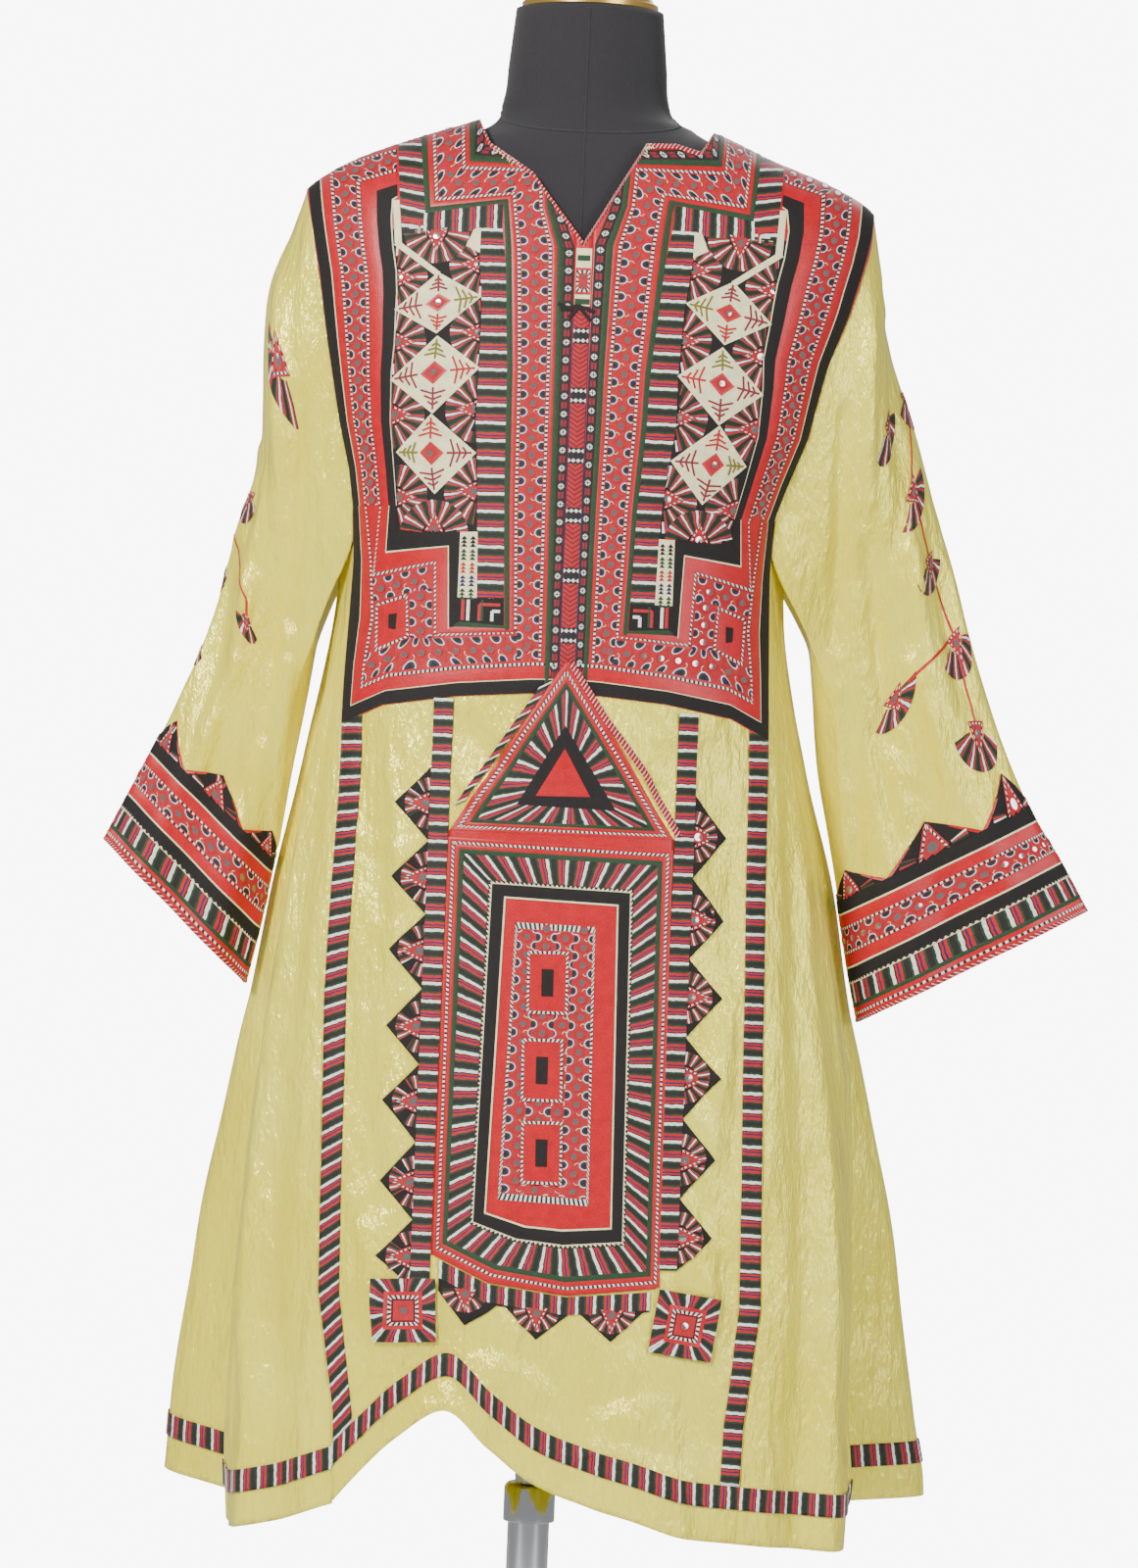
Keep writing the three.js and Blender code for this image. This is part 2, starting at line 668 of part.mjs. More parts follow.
// A loop round the armhole on the panels' own edge points: from the shoulder down the front,
// under the arm and up the back
function armhole(side, frontEdge, backEdge) {
  const name = side < 0 ? "left" : "right";
  const above = (edge) => edge.filter(({ p }) => p.z > UNDERARM + ARMHOLE_FOOT).reverse();
  const power = bodyAt("power", UNDERARM);
  const cornerAngle = (rows) => {
    const x = Math.abs(linear(rows, "z", name, UNDERARM));
    return Math.acos((x / bodyAt(name, UNDERARM)) ** (power / 2));
  };
  const under = (angle) => [1, 0.66, 0.33].map((share) => ({ p: ringPoint(side, UNDERARM, angle * share) }));
  const frontPoints = above(frontEdge);
  const backPoints = above(backEdge);
  const top = { p: frontPoints[0].p.clone().setY(0), n: frontPoints[0].n };
  const frontHalf = [...frontPoints.slice(1), ...under(cornerAngle(FRONT_EDGE))];
  const backHalf = [...backPoints.slice(1), ...under(-cornerAngle(BACK_EDGE))];
  const middle = { p: ringPoint(side, UNDERARM, 1e-6) };
  return [top, ...frontHalf, middle, ...backHalf.reverse()].map(({ p, n }) => {
    const out = n ? SEAM_GAP : UNDERARM_GAP;
    return { p: p.clone().setX(p.x + side * out), n };
  });
}

function sleeveGrid(side, start) {
  const table = side < 0 ? LEFT_SLEEVE : RIGHT_SLEEVE;
  const flatPoint = (s, angle) => {
    const at = (column) => tabled(table, "s", column, s);
    const along = 0.5 + 0.5 * Math.cos(angle);
    const fold = SLEEVE_FOLD_DEPTH * s * Math.sin(angle) * Math.cos(SLEEVE_FOLDS * 2 * angle);
    const shape = Math.sign(Math.sin(angle)) * Math.abs(Math.sin(angle)) ** SLEEVE_OVAL;
    return new THREE.Vector3(
      THREE.MathUtils.lerp(at("inX"), at("outX"), along),
      at("y") - at("deep") * shape - fold,
      THREE.MathUtils.lerp(at("inZ"), at("outZ"), along),
    );
  };
  const rows = SLEEVE_ROWS.map((s) =>
    start.map(({ p }, j) => {
      const angle = (2 * Math.PI * j) / start.length;
      const left = 1 - THREE.MathUtils.smoothstep(s, 0, SLEEVE_BLEND);
      const drift = p.clone().sub(flatPoint(0, angle)).multiplyScalar(left);
      return flatPoint(s, angle).add(drift);
    }),
  );
  const grid = faced(withNormals(rows, true), CUFF_ROW, start.length / 4, new THREE.Vector3(0, -1, 0));
  grid[0].forEach((k, j) => {
    if (start[j].n) k.n = start[j].n;
  });
  return grid;
}

// The cuff lies on the sleeve's last rows, and its upper edge runs in teeth
function cuffGrid(sleeve) {
  const rows = sleeve.slice(CUFF_ROW);
  const before = sleeve[CUFF_ROW - 1];
  const top = rows[0].map(({ p, n }, j) => {
    const tooth = 1 - Math.abs(((j % TOOTH_COLUMNS) / TOOTH_COLUMNS) * 2 - 1);
    const share = (tooth * TOOTH_SHARE) / (SLEEVE_ROWS[CUFF_ROW] - SLEEVE_ROWS[CUFF_ROW - 1]);
    return { p: p.clone().lerp(before[j].p, share), n };
  });
  return [top, ...rows.slice(1)];
}

// A strip on the front, from rows that give its two edges at each height
function frontStrip(rows, columns, lift) {
  const grid = rows.map(({ z, from, to }) => {
    const row = [];
    for (let j = 0; j <= columns; j += 1) {
      const x = THREE.MathUtils.lerp(from, to, j / columns);
      const y = bodyY(x, z, FRONT) + waveY(x, z, FRONT);
      row.push(knot(new THREE.Vector3(x, y, z)));
    }
    return row;
  });
  return wall(grid, OVERLAY, lift);
}

function pocketGeometry() {
  const slope = (z) => THREE.MathUtils.clamp((z - POCKET_SHOULDER) / (POCKET_APEX - POCKET_SHOULDER), 0, 1);
  const rows = POCKET_LEVELS.map((z) => ({
    z,
    from: THREE.MathUtils.lerp(POCKET_LEFT, CENTRE_X - APEX_HALF, slope(z)),
    to: THREE.MathUtils.lerp(POCKET_RIGHT, CENTRE_X + APEX_HALF, slope(z)),
  }));
  const lift = (i) => {
    const over = THREE.MathUtils.smoothstep(POCKET_LEVELS[i], 860, 900);
    return LAY_GAP + OVERLAY + APEX_LIFT * over;
  };
  return frontStrip(rows, 8, lift);
}

// A band beside the pocket whose outer edge runs in teeth
function sideBand(side, tips) {
  const inner = side < 0 ? POCKET_LEFT : POCKET_RIGHT;
  const outer = inner + side * BAND_WIDTH;
  const near = inner + side * SEAM_GAP;
  const valleys = tips.slice(1).map((z, i) => (z + tips[i]) / 2);
  const pitch = tips[0] - tips[1];
  const rows = [
    { z: BAND_TOP, out: outer },
    { z: tips[0] + pitch / 2, out: outer },
    ...tips.map((z) => ({ z, out: outer + side * TOOTH_OUT })),
    ...valleys.map((z) => ({ z, out: outer })),
    { z: tips[tips.length - 1] - pitch / 2 + 6, out: outer },
  ].sort((a, b) => a.z - b.z);
  return frontStrip(rows.map(({ z, out }) => ({ z, from: near, to: out })), 3, lay + TOOTH_LIFT);
}

// The band under the pocket, with teeth that point down
function bottomBand() {
  const top = POCKET_BASE - SEAM_GAP;
  const low = top - BAND_WIDTH;
  const toothStops = BOTTOM_TIPS.flatMap((x) => [x - BOTTOM_TOOTH_HALF, x, x + BOTTOM_TOOTH_HALF]);
  const stops = [BOTTOM_LEFT, ...toothStops, BOTTOM_RIGHT];
  const grid = stops.map((x) => {
    const out = BOTTOM_TIPS.includes(x) ? low - BOTTOM_TOOTH_OUT : low;
    return [0, 0.34, 0.67, 1].map((t) => {
      const z = THREE.MathUtils.lerp(top, out, t);
      return knot(new THREE.Vector3(x, bodyY(x, z, FRONT) + waveY(x, z, FRONT), z));
    });
  });
  return wall(grid, OVERLAY, lay + TOOTH_LIFT / 2);
}

function cornerSquare({ x, z, turn, layers }) {
  const grid = [];
  for (let i = 0; i <= 3; i += 1) {
    const row = [];
    for (let j = 0; j <= 3; j += 1) {
      const a = (j / 3 - 0.5) * SQUARE_SIDE;
      const b = (i / 3 - 0.5) * SQUARE_SIDE;
      const px = x + a * Math.cos(turn) - b * Math.sin(turn);
      const pz = z + a * Math.sin(turn) + b * Math.cos(turn);
      row.push(knot(new THREE.Vector3(px, bodyY(px, pz, FRONT) + waveY(px, pz, FRONT), pz)));
    }
    grid.push(row);
  }
  return wall(grid, OVERLAY, layers * lay + TOOTH_LIFT);
}

// Torso and neck: level rings, with a socket for the mast in the underside
function formGeometry() {
  const points = [];
  const index = [];
  const ring = (z, radiusAt) => {
    for (let j = 0; j < FORM_SIDES; j += 1) {
      const angle = (2 * Math.PI * j) / FORM_SIDES;
      const [x, y] = radiusAt(angle);
      points.push(new THREE.Vector3(x, y, z));
    }
  };
  const oval = (angle, left, right, front, back, power) => {
    const c = Math.cos(angle);
    const s = Math.sin(angle);
    const half = c < 0 ? left : right;
    const depth = s < 0 ? front : back;
    return [
      Math.sign(c) * half * Math.abs(c) ** (2 / power),
      Math.sign(s) * depth * Math.abs(s) ** (2 / power),
    ];
  };
  const circle = (angle) => {
    const radius = MAST_RADIUS + RUNNING_GAP;
    return [radius * Math.cos(angle), radius * Math.sin(angle)];
  };
  ring(SOCKET_TOP, circle);
  ring(FORM_LEVELS[0], circle);
  FORM_LEVELS.forEach((z) => {
    const inset = CLOTH + FORM_GAP + SHOULDER_GAP * THREE.MathUtils.smoothstep(z, SHOULDER_FROM, SHOULDER_TO);
    const round = THREE.MathUtils.clamp((z - NECK_ROUND_FROM) / NECK_ROUND_OVER, 0, 1);
    const power = THREE.MathUtils.lerp(FORM_POWER, 2, round);
    const own = (column) => tabled(FORM, "z", column, z);
    const under = (column) => (z < NECK_Z ? bodyAt(column, z + inset) - inset : Infinity);
    const [half, front, back] = ["half", "front", "back"].map(own);
    ring(z, (angle) =>
      oval(
        angle,
        Math.min(half, under("left")),
        Math.min(half, under("right")),
        Math.min(front, under("front")),
        Math.min(back, under("back")),
        power,
      ),
    );
  });
  const rings = points.length / FORM_SIDES;
  const at = (i, j) => i * FORM_SIDES + (j % FORM_SIDES);
  for (let i = 0; i < rings - 1; i += 1) {
    for (let j = 0; j < FORM_SIDES; j += 1) {
      index.push(at(i, j), at(i, j + 1), at(i + 1, j + 1), at(i, j), at(i + 1, j + 1), at(i + 1, j));
    }
  }
  const close = (i, z, flip) => {
    const centre = points.push(new THREE.Vector3(0, 0, z)) - 1;
    for (let j = 0; j < FORM_SIDES; j += 1) {
      index.push(centre, ...(flip ? [at(i, j + 1), at(i, j)] : [at(i, j), at(i, j + 1)]));
    }
  };
  close(0, SOCKET_TOP, true);
  close(rings - 1, FORM_LEVELS[FORM_LEVELS.length - 1], false);
  return outward(points, index);
}

// A round piece about the Z axis from its profile of radius and height
function turned(profile) {
  const geometry = new THREE.LatheGeometry(
    profile.map(([radius, height]) => new THREE.Vector2(radius, height)),
    ROUND_SIDES,
  );
  return geometry.rotateX(Math.PI / 2);
}

const tube = (inner, outer, low, high) =>
  turned([
    [inner, low],
    [outer, low],
    [outer, high],
    [inner, high],
    [inner, low],
  ]);

function baseGeometry() {
  const bore = LOWER_RADIUS + SEAM_GAP;
  const edge = 3;
  return turned([
    [0, 0],
    [BASE_RADIUS - edge, 0],
    [BASE_RADIUS, edge],
    [BASE_RADIUS, BASE_HEIGHT - edge],
    [BASE_RADIUS - edge, BASE_HEIGHT],
    [BOSS_RADIUS + edge, BASE_HEIGHT],
    [BOSS_RADIUS, BASE_HEIGHT + edge],
    [BOSS_RADIUS, BOSS_TOP],
    [bore, BOSS_TOP],
    [bore, SOCKET_FLOOR],
    [0, SOCKET_FLOOR],
  ]);
}

function collarGeometry() {
  const wide = LOWER_RADIUS + SEAM_GAP;
  const narrow = MAST_RADIUS + RUNNING_GAP;
  const step = LOWER_TOP + SEAM_GAP;
  return turned([
    [wide, COLLAR_BOTTOM],
    [COLLAR_RADIUS, COLLAR_BOTTOM],
    [COLLAR_RADIUS, COLLAR_TOP - 3],
    [COLLAR_RADIUS - 3, COLLAR_TOP],
    [narrow, COLLAR_TOP],
    [narrow, step],
    [wide, step],
    [wide, COLLAR_BOTTOM],
  ]);
}

function capGeometry() {
  const profile = [[0, CAP_BOTTOM], [CAP_RADIUS, CAP_BOTTOM], [CAP_RADIUS, CAP_BOTTOM + 5]];
  for (let i = 1; i <= 4; i += 1) {
    const angle = (Math.PI / 2) * (i / 4);
    const rise = CAP_TOP - CAP_BOTTOM - 5;
    profile.push([(CAP_RADIUS - 3) * Math.cos(angle), CAP_BOTTOM + 5 + rise * Math.sin(angle)]);
  }
  profile[profile.length - 1][0] = 0;
  return turned(profile);
}

const mastTop = SOCKET_TOP - SEAM_GAP;
const dress = new THREE.Group();

function add(name, geometry, finish) {
  const mesh = new THREE.Mesh(geometry, new THREE.MeshStandardMaterial(finish));
  mesh.name = name;
  dress.add(mesh);
}

const front = byRows(FRONT_COLUMNS.map(frontColumn));
const back = byRows(BACK_COLUMNS.map(backColumn));
const bibRow = LOWER_LEVELS.length + TAPE_ROW + 2;
const frontTop = front.length - 1;
const frontLast = FRONT_COLUMNS.length - 1;

add("front_panel", wall(front, CLOTH), SATIN);
add("back_panel", wall(back, CLOTH), SATIN);

const edgeGap = { left: SEAM_GAP, right: SEAM_GAP };
const bibLift = (row) => (row >= UPPER_SHARES.length - NECK_ROWS ? lay + NECK_LIFT : lay);
const bib = (from, to, gaps) => wall(part(front, bibRow, frontTop, from, to, gaps), OVERLAY, bibLift);
add("bib_left", bib(0, PLACKET_FROM, edgeGap), RED_THREAD);
add("bib_right", bib(PLACKET_TO, frontLast, edgeGap), RED_THREAD);
add("placket", bib(PLACKET_FROM, PLACKET_TO, {}), DARK_THREAD);

const seamTape = (from) =>
  wall(part(front, TAPE_ROW + 1, bibRow, from, from + 1, { ...edgeGap, low: SEAM_GAP }), OVERLAY, lay);
add("seam_tape_left", seamTape(0), STRIPE_THREAD);
add("seam_tape_right", seamTape(frontLast - 1), STRIPE_THREAD);
const hemTape = (grid) =>
  wall(part(grid, TAPE_ROW, TAPE_ROW + 1, 0, grid[0].length - 1, edgeGap), OVERLAY, lay);
add("hem_tape_front", hemTape(front), STRIPE_THREAD);
add("hem_tape_back", hemTape(back), STRIPE_THREAD);

[
  [-1, "left", LEFT_TIPS],
  [1, "right", RIGHT_TIPS],
].forEach(([side, name, tips]) => {
  const gore = goreGrid(side);
  add("side_gore_" + name, wall(gore, CLOTH), SATIN);
  add("hem_tape_" + name, hemTape(gore), STRIPE_THREAD);
  const edgeOf = (grid) => grid.map((row) => row[side < 0 ? 0 : row.length - 1]);
  const sleeve = sleeveGrid(side, armhole(side, edgeOf(front), edgeOf(back)));
  add("sleeve_" + name, wall(sleeve, CLOTH, 0, true), SATIN);
  const cuffLift = (row) => (row === 0 ? lay + TOOTH_LIFT : lay);
  add("cuff_" + name, wall(cuffGrid(sleeve), OVERLAY, cuffLift, true), RED_THREAD);
  add("pocket_band_" + name, sideBand(side, tips), STRIPE_THREAD);
});

add("pocket", pocketGeometry(), RED_THREAD);
add("pocket_band_bottom", bottomBand(), STRIPE_THREAD);
add("corner_square_left", cornerSquare(LEFT_SQUARE), RED_THREAD);
add("corner_square_right", cornerSquare(RIGHT_SQUARE), RED_THREAD);

add("form", formGeometry(), FORM_CLOTH);
add("neck_cap", capGeometry(), BRASS);
add("mast", turned([[0, MAST_BOTTOM], [MAST_RADIUS, MAST_BOTTOM], [MAST_RADIUS, mastTop], [0, mastTop]]), CHROME);
add("collar", collarGeometry(), CHROME);
add("lower_tube", tube(MAST_RADIUS + RUNNING_GAP, LOWER_RADIUS, SOCKET_FLOOR + SEAM_GAP, LOWER_TOP), CHROME);
add("base", baseGeometry(), CHROME);

export default dress;
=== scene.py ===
# Embroidered satin dress on a limbless dress form with a telescopic stand, at rest.
import math

import bpy
import numpy as np
from mathutils import Matrix, Vector


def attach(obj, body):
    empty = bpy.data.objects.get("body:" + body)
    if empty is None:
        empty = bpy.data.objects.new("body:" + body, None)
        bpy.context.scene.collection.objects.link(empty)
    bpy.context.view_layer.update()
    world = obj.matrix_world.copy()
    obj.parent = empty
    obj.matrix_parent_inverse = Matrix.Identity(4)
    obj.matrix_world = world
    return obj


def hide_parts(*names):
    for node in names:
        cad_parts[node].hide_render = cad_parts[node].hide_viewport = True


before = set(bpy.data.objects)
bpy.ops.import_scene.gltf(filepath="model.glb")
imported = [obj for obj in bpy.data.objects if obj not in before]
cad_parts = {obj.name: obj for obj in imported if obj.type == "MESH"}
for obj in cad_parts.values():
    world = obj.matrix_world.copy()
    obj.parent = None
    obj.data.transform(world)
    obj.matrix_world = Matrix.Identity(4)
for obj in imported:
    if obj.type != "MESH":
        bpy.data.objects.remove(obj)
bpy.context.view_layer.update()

# Lengths below are in millimetres, as on the pattern, and turn to metres in each mesh
MM = 0.001
# Thickness of the satin and of the pieces sewn on it
CLOTH = 0.8
SEWN_CLOTH = 0.6
# The middle of the front, and the heights that the panels are laid out from
CENTRE_X = 3.0
BIB_BOTTOM = 905.0
UNDERARM = 1019.0
TOP_Z = 1270.0
LOW_Z = 867.0
RIPPLE_TOP = 466.0
HEM_LEVEL = 380.0
# The hem tape: its width, its height above the edge, its lift off the satin
HEM_TAPE = 16.0
HEM_RAISE = 24.0
HEM_LIFT = 1.25
# Points across a gore, the front's spacing, and the row of the front's points at BIB_BOTTOM
GORE_COLUMNS = 132
FRONT_STEP = 2.6
BIB_ROW = 94
FRONT, BACK = -1, 1

# Half widths and depths of the dress: z, left, right, front, back, power
BODY = np.array([
    (300, 254, 281, 150, 150, 2.4), (362, 254, 280, 149, 148, 2.4), (404, 253, 272, 147, 145, 2.4),
    (507, 245, 258, 143, 136, 2.4), (575, 237, 246, 140, 130, 2.4), (696, 219, 219, 134, 118, 2.4),
    (800, 199, 197, 129, 108, 2.35), (867, 186, 179, 126, 102, 2.3), (950, 170, 161, 123, 96, 2.3),
    (1005, 164, 156, 121, 94, 2.3), (1060, 172, 163, 120, 94, 2.3), (1104, 184, 182, 120, 95, 2.3),
    (1155, 197, 198, 118, 96, 2.3), (1197, 206, 212, 113, 96, 2.3), (1235, 210, 219, 104, 93, 2.3),
    (1264, 203, 213, 95, 88, 2.3), (1276, 192, 201, 90, 84, 2.3), (1292, 166, 168, 82, 79, 2.3),
    (1304, 138, 136, 76, 74, 2.25), (1314, 110, 114, 70, 69, 2.2), (1326, 76, 88, 63, 62, 2.1),
    (1345, 62, 66, 58, 58, 2.0),
], float)
# Seam lines of the panels: z, left, right
FRONT_EDGE = np.array([
    (300, -135, 144), (409, -139, 147), (491, -153, 156), (699, -158, 150), (867, -154, 147),
    (925, -154, 145), (1005, -151, 143), (1044, -153, 144), (1071, -157, 153), (1104, -165, 166),
    (1155, -175, 178), (1197, -182, 194), (1240, -190, 206), (1270, -197, 209),
], float)
BACK_EDGE = np.array([
    (300, -166, 168), (500, -160, 162), (700, -155, 153), (900, -150, 145), (1040, -151, 144),
    (1104, -168, 168), (1197, -186, 196), (1270, -197, 209),
], float)
# Columns of the panels: x at the pocket, x at the shoulder
FRONT_COLUMNS = np.array([
    (-154, -197), (-139, -178), (-114, -154), (-90, -130), (-76, -108), (-62, -90), (-50, -77), (-46, -75),
    (-42, -74), (-37, -71), (-32, -66), (-21, -35), (-11, -15), (-3, -3.6), (3, 2.4), (9, 8.4), (20, 26),
    (31, 44), (43, 65), (53, 82), (58, 86.5), (62, 89.3), (66, 92), (71, 95.5), (83, 114), (98, 140),
    (117, 165), (133, 189), (147, 209),
], float)
BACK_COLUMNS = np.array([
    (-150, -197), (-124, -165), (-98, -134), (-76, -105), (-53, -77), (-48, -75), (-43, -73), (-33, -64),
    (-15, -34), (4, 8), (26, 48), (42, 78), (48, 88), (53, 91), (59, 95.5), (76, 116), (96, 142), (120, 172),
    (145, 209),
], float)
NECK_LEFT, NECK_RIGHT = -76, 93
FRONT_NECK = np.array([
    (-75, 1325), (-74, 1321), (-71, 1313), (-66, 1303), (-35, 1282), (-15, 1255), (2.4, 1233), (44, 1307),
    (65, 1308), (82, 1303), (86.5, 1310), (89.3, 1316.5), (92, 1321.5),
], float)
BACK_NECK = np.array([
    (-75, 1325), (-73, 1322), (-64, 1317), (-34, 1314), (8, 1312), (48, 1313), (78, 1315), (88, 1319),
    (91, 1322),
], float)
# Hems: x or share of the gore, z
FRONT_HEM = np.array([
    (-140, 345), (-125, 362), (-94, 393), (-60, 414), (-30, 389), (-1, 367), (43, 350), (75, 342), (108, 332),
    (147, 328),
], float)
LEFT_HEM = np.array([(0, 345), (0.14, 328), (0.34, 317), (0.5, 335), (0.68, 352), (1, 350)], float)
RIGHT_HEM = np.array([(0, 328), (0.2, 322), (0.36, 322), (0.48, 342), (0.66, 350), (1, 350)], float)
BACK_HEM = np.array([
    (-166, 350), (-130, 354), (-94, 382), (-60, 398), (-30, 384), (0, 362), (50, 351), (168, 350),
], float)
# Pleats of the gores: share, width, depth, height where it starts
LEFT_PLEATS = [
    (0.13, 0.16, 9, 1005), (0.27, 0.14, 9, 1005), (0.38, 0.34, 31, 1005), (0.5, 0.24, 38, 1005),
    (0.63, 0.26, -15, 690), (0.75, 0.15, 13, 1005), (0.89, 0.15, 11, 1005),
]
RIGHT_PLEATS = [
    (0.12, 0.15, 10, 1005), (0.25, 0.15, 8, 1005), (0.37, 0.32, 12, 1005), (0.36, 0.34, 38, 650),
    (0.49, 0.24, 40, 1005), (0.48, 0.22, 36, 650), (0.62, 0.26, -9, 690), (0.74, 0.15, 12, 1005),
    (0.88, 0.16, 12, 1005),
]
PLEAT_FULL = 315.0
# Waves of the panels above the hem: x, width, depth
FRONT_WAVES = [(-96, 62, -9), (-52, 60, 10), (20, 90, -6), (92, 80, 7)]
BACK_WAVES = [(-110, 90, 9), (-20, 110, -9), (85, 100, 9)]
# Sleeves: s, outer x and z, inner x and z, depth, y
LEFT_SLEEVE = np.array([
    (0, -204, 1264, -166, 1020, 50, -4), (0.16, -229, 1177, -174, 982, 44, -2),
    (0.34, -232, 1077, -181, 930, 36, 2), (0.52, -248, 992, -189, 870, 29, 5),
    (0.66, -266, 927, -196, 826, 24, 6), (0.79, -290, 872, -203, 790, 20, 6),
    (0.9, -308, 834, -211, 742, 17, 6), (1, -325, 799, -220, 700, 15, 6),
], float)
RIGHT_SLEEVE = np.array([
    (0, 217, 1257, 158, 1020, 50, -4), (0.16, 232, 1176, 172, 982, 44, -2),
    (0.34, 255, 1090, 180, 930, 36, 2), (0.52, 280, 1010, 186, 868, 29, 5),
    (0.66, 304, 930, 196, 820, 24, 2), (0.79, 338, 850, 204, 776, 20, 0),
    (0.9, 362, 812, 213, 730, 17, -1), (1, 383, 776, 222, 690, 14, -1),
], float)
CUFF_FROM = 0.79


# Smooth value of a column of a table by its first column
def smooth(rows, column, at):
    keys, values = rows[:, 0], rows[:, column]
    at = np.clip(np.asarray(at, float), keys[0], keys[-1])
    i = np.clip(np.searchsorted(keys, at, side="left") - 1, 0, len(keys) - 2)
    slopes = np.diff(values) / np.diff(keys)
    here = slopes[i]

    def calm(m):
        return np.where(m * here <= 0, 0, np.sign(here) * np.minimum(abs(m), 2.5 * abs(here)))

    before = np.where(i > 0, calm((slopes[np.maximum(i - 1, 0)] + here) / 2), here)
    after = np.where(i < len(slopes) - 1, calm((slopes[np.minimum(i + 1, len(slopes) - 1)] + here) / 2), here)
    step = keys[i + 1] - keys[i]
    t = (at - keys[i]) / step
    u = 1 - t
    return (values[i] * (1 + 2 * t) * u * u + values[i + 1] * t * t * (3 - 2 * t)
            + step * (before * t * u * u - after * t * t * u))


def straight(rows, column, at):
    return np.interp(at, rows[:, 0], rows[:, column])


def hump(distance, width):
    return 0.5 + 0.5 * np.cos(np.pi * np.minimum(1, abs(2 * distance / width)))


def ease(x, a, b):
    t = np.clip((x - a) / (b - a), 0, 1)
    return t * t * (3 - 2 * t)


def half_at(x, z):
    return np.where(x < CENTRE_X, smooth(BODY, 1, z), smooth(BODY, 2, z))


def body_y(x, z, face):
    power = smooth(BODY, 5, z)
    share = np.minimum(1, abs(x) / half_at(x, z))
    depth = smooth(BODY, 3 if face == FRONT else 4, z)
    return face * depth * (1 - share ** power) ** (1 / power)


def wave_y(x, z, face):
    rows = FRONT_WAVES if face == FRONT else BACK_WAVES
    return face * ease(RIPPLE_TOP - z, 0, 150) * sum(d * hump(x - at, w) for at, w, d in rows)


def body_normal(p):
    def value(q):
        x, y, z = q[..., 0], q[..., 1], q[..., 2]
        depth = np.where(y < 0, smooth(BODY, 3, z), smooth(BODY, 4, z))
        power = smooth(BODY, 5, z)
        return (abs(x) / half_at(x, z)) ** power + (abs(y) / depth) ** power

    parts = [value(p + 0.5 * e) - value(p - 0.5 * e) for e in np.eye(3)]
    n = np.stack(parts, -1)
    return n / np.maximum(np.linalg.norm(n, axis=-1, keepdims=True), 1e-9)


# Creases: from x, z to x, z, how wide, how deep, as soft troughs (below 0) or ridges
CREASE_DEPTH = 2.2
FRONT_CREASES = [
    (-132, 870, -120, 760, 10, -2.2), (-118, 860, -104, 700, 9, 1.8), (-140, 700, -120, 560, 10, -2.2),
    (94, 640, 128, 596, 6, 1.3), (90, 600, 124, 548, 6, -1.2), (96, 548, 132, 520, 6, 1.2),
    (92, 520, 116, 470, 6, -1.3),
    (-104, 800, -138, 812, 6, 1.1), (-100, 560, -134, 540, 6, -1.2), (-108, 470, -66, 452, 6, 1.2),
    (-50, 440, -20, 408, 6, 1.3), (60, 400, 110, 384, 6, -1.2), (84, 372, 128, 350, 6, 1.2),
    (22, 384, 60, 392, 6, 1.1),
    (-128, 560, -96, 430, 9, 2.4), (-60, 470, -95, 400, 10, -2.6), (-20, 470, -40, 392, 10, 2.2),
    (20, 440, 36, 356, 10, -2.4), (66, 452, 74, 346, 11, 2.2), (104, 440, 118, 336, 9, -2.2),
    (118, 860, 126, 720, 9, -2.0), (128, 720, 118, 600, 8, 2.0), (122, 590, 138, 470, 9, -2.2),
    (-130, 500, -100, 470, 8, 1.8), (-118, 452, -60, 436, 7, -1.6), (-40, 450, 10, 430, 7, 1.4),
    (30, 420, 84, 436, 7, -1.6), (104, 520, 130, 500, 7, 1.5), (-66, 890, -30, 850, 8, -1.8),
    (-70, 860, -46, 826, 7, 1.4), (36, 892, 66, 858, 8, 1.4), (76, 880, 70, 830, 6, -1.3),
    (106, 880, 112, 800, 7, -1.6), (-106, 640, -128, 600, 7, 1.4), (112, 660, 132, 640, 6, 1.3),
]
BACK_CREASES = [
    (-120, 900, -126, 640, 13, -3), (-60, 980, -66, 560, 15, 3), (6, 900, 2, 480, 16, -3.2),
    (58, 1000, 70, 560, 14, 3), (112, 880, 124, 560, 13, -3), (-96, 620, -110, 380, 13, 3.4),
    (-30, 560, -40, 370, 14, -3.4), (34, 600, 40, 372, 14, 3.2), (92, 560, 100, 372, 13, -3.2),
    (-70, 1180, 60, 1150, 14, -1.6), (-90, 1060, 80, 1040, 14, -1.4), (-40, 1110, 110, 1090, 10, 1.2),
]


def creased(rows, x, z):
    total = np.zeros(np.broadcast(x, z).shape)
    for x0, z0, x1, z1, width, depth in rows:
        ux, uz = x1 - x0, z1 - z0
        t = np.clip(((x - x0) * ux + (z - z0) * uz) / (ux * ux + uz * uz), 0, 1)
        away = np.hypot(x - x0 - t * ux, z - z0 - t * uz)
        fade = 0.35 + 0.65 * np.sin(np.pi * np.clip(t, 0.08, 0.92))
        total += CREASE_DEPTH * depth * np.exp(-((away / width) ** 2)) * fade
    return total


# Soft unevenness of hanging cloth
def uneven(x, z, scale=1.0):
    return scale * (0.5 * np.sin(x / 23 + 1.3 * np.sin(z / 61)) * np.sin(z / 47 + 0.7)
                    + 0.35 * np.sin(x / 11.5 + z / 37 + 2.1) + 0.25 * np.sin(z / 19 - x / 31))


# Relief that sinks no deeper than the form behind it allows
def shallow(out, deepest=3.0):
    return np.where(out < 0, deepest * np.tanh(out / deepest), out)


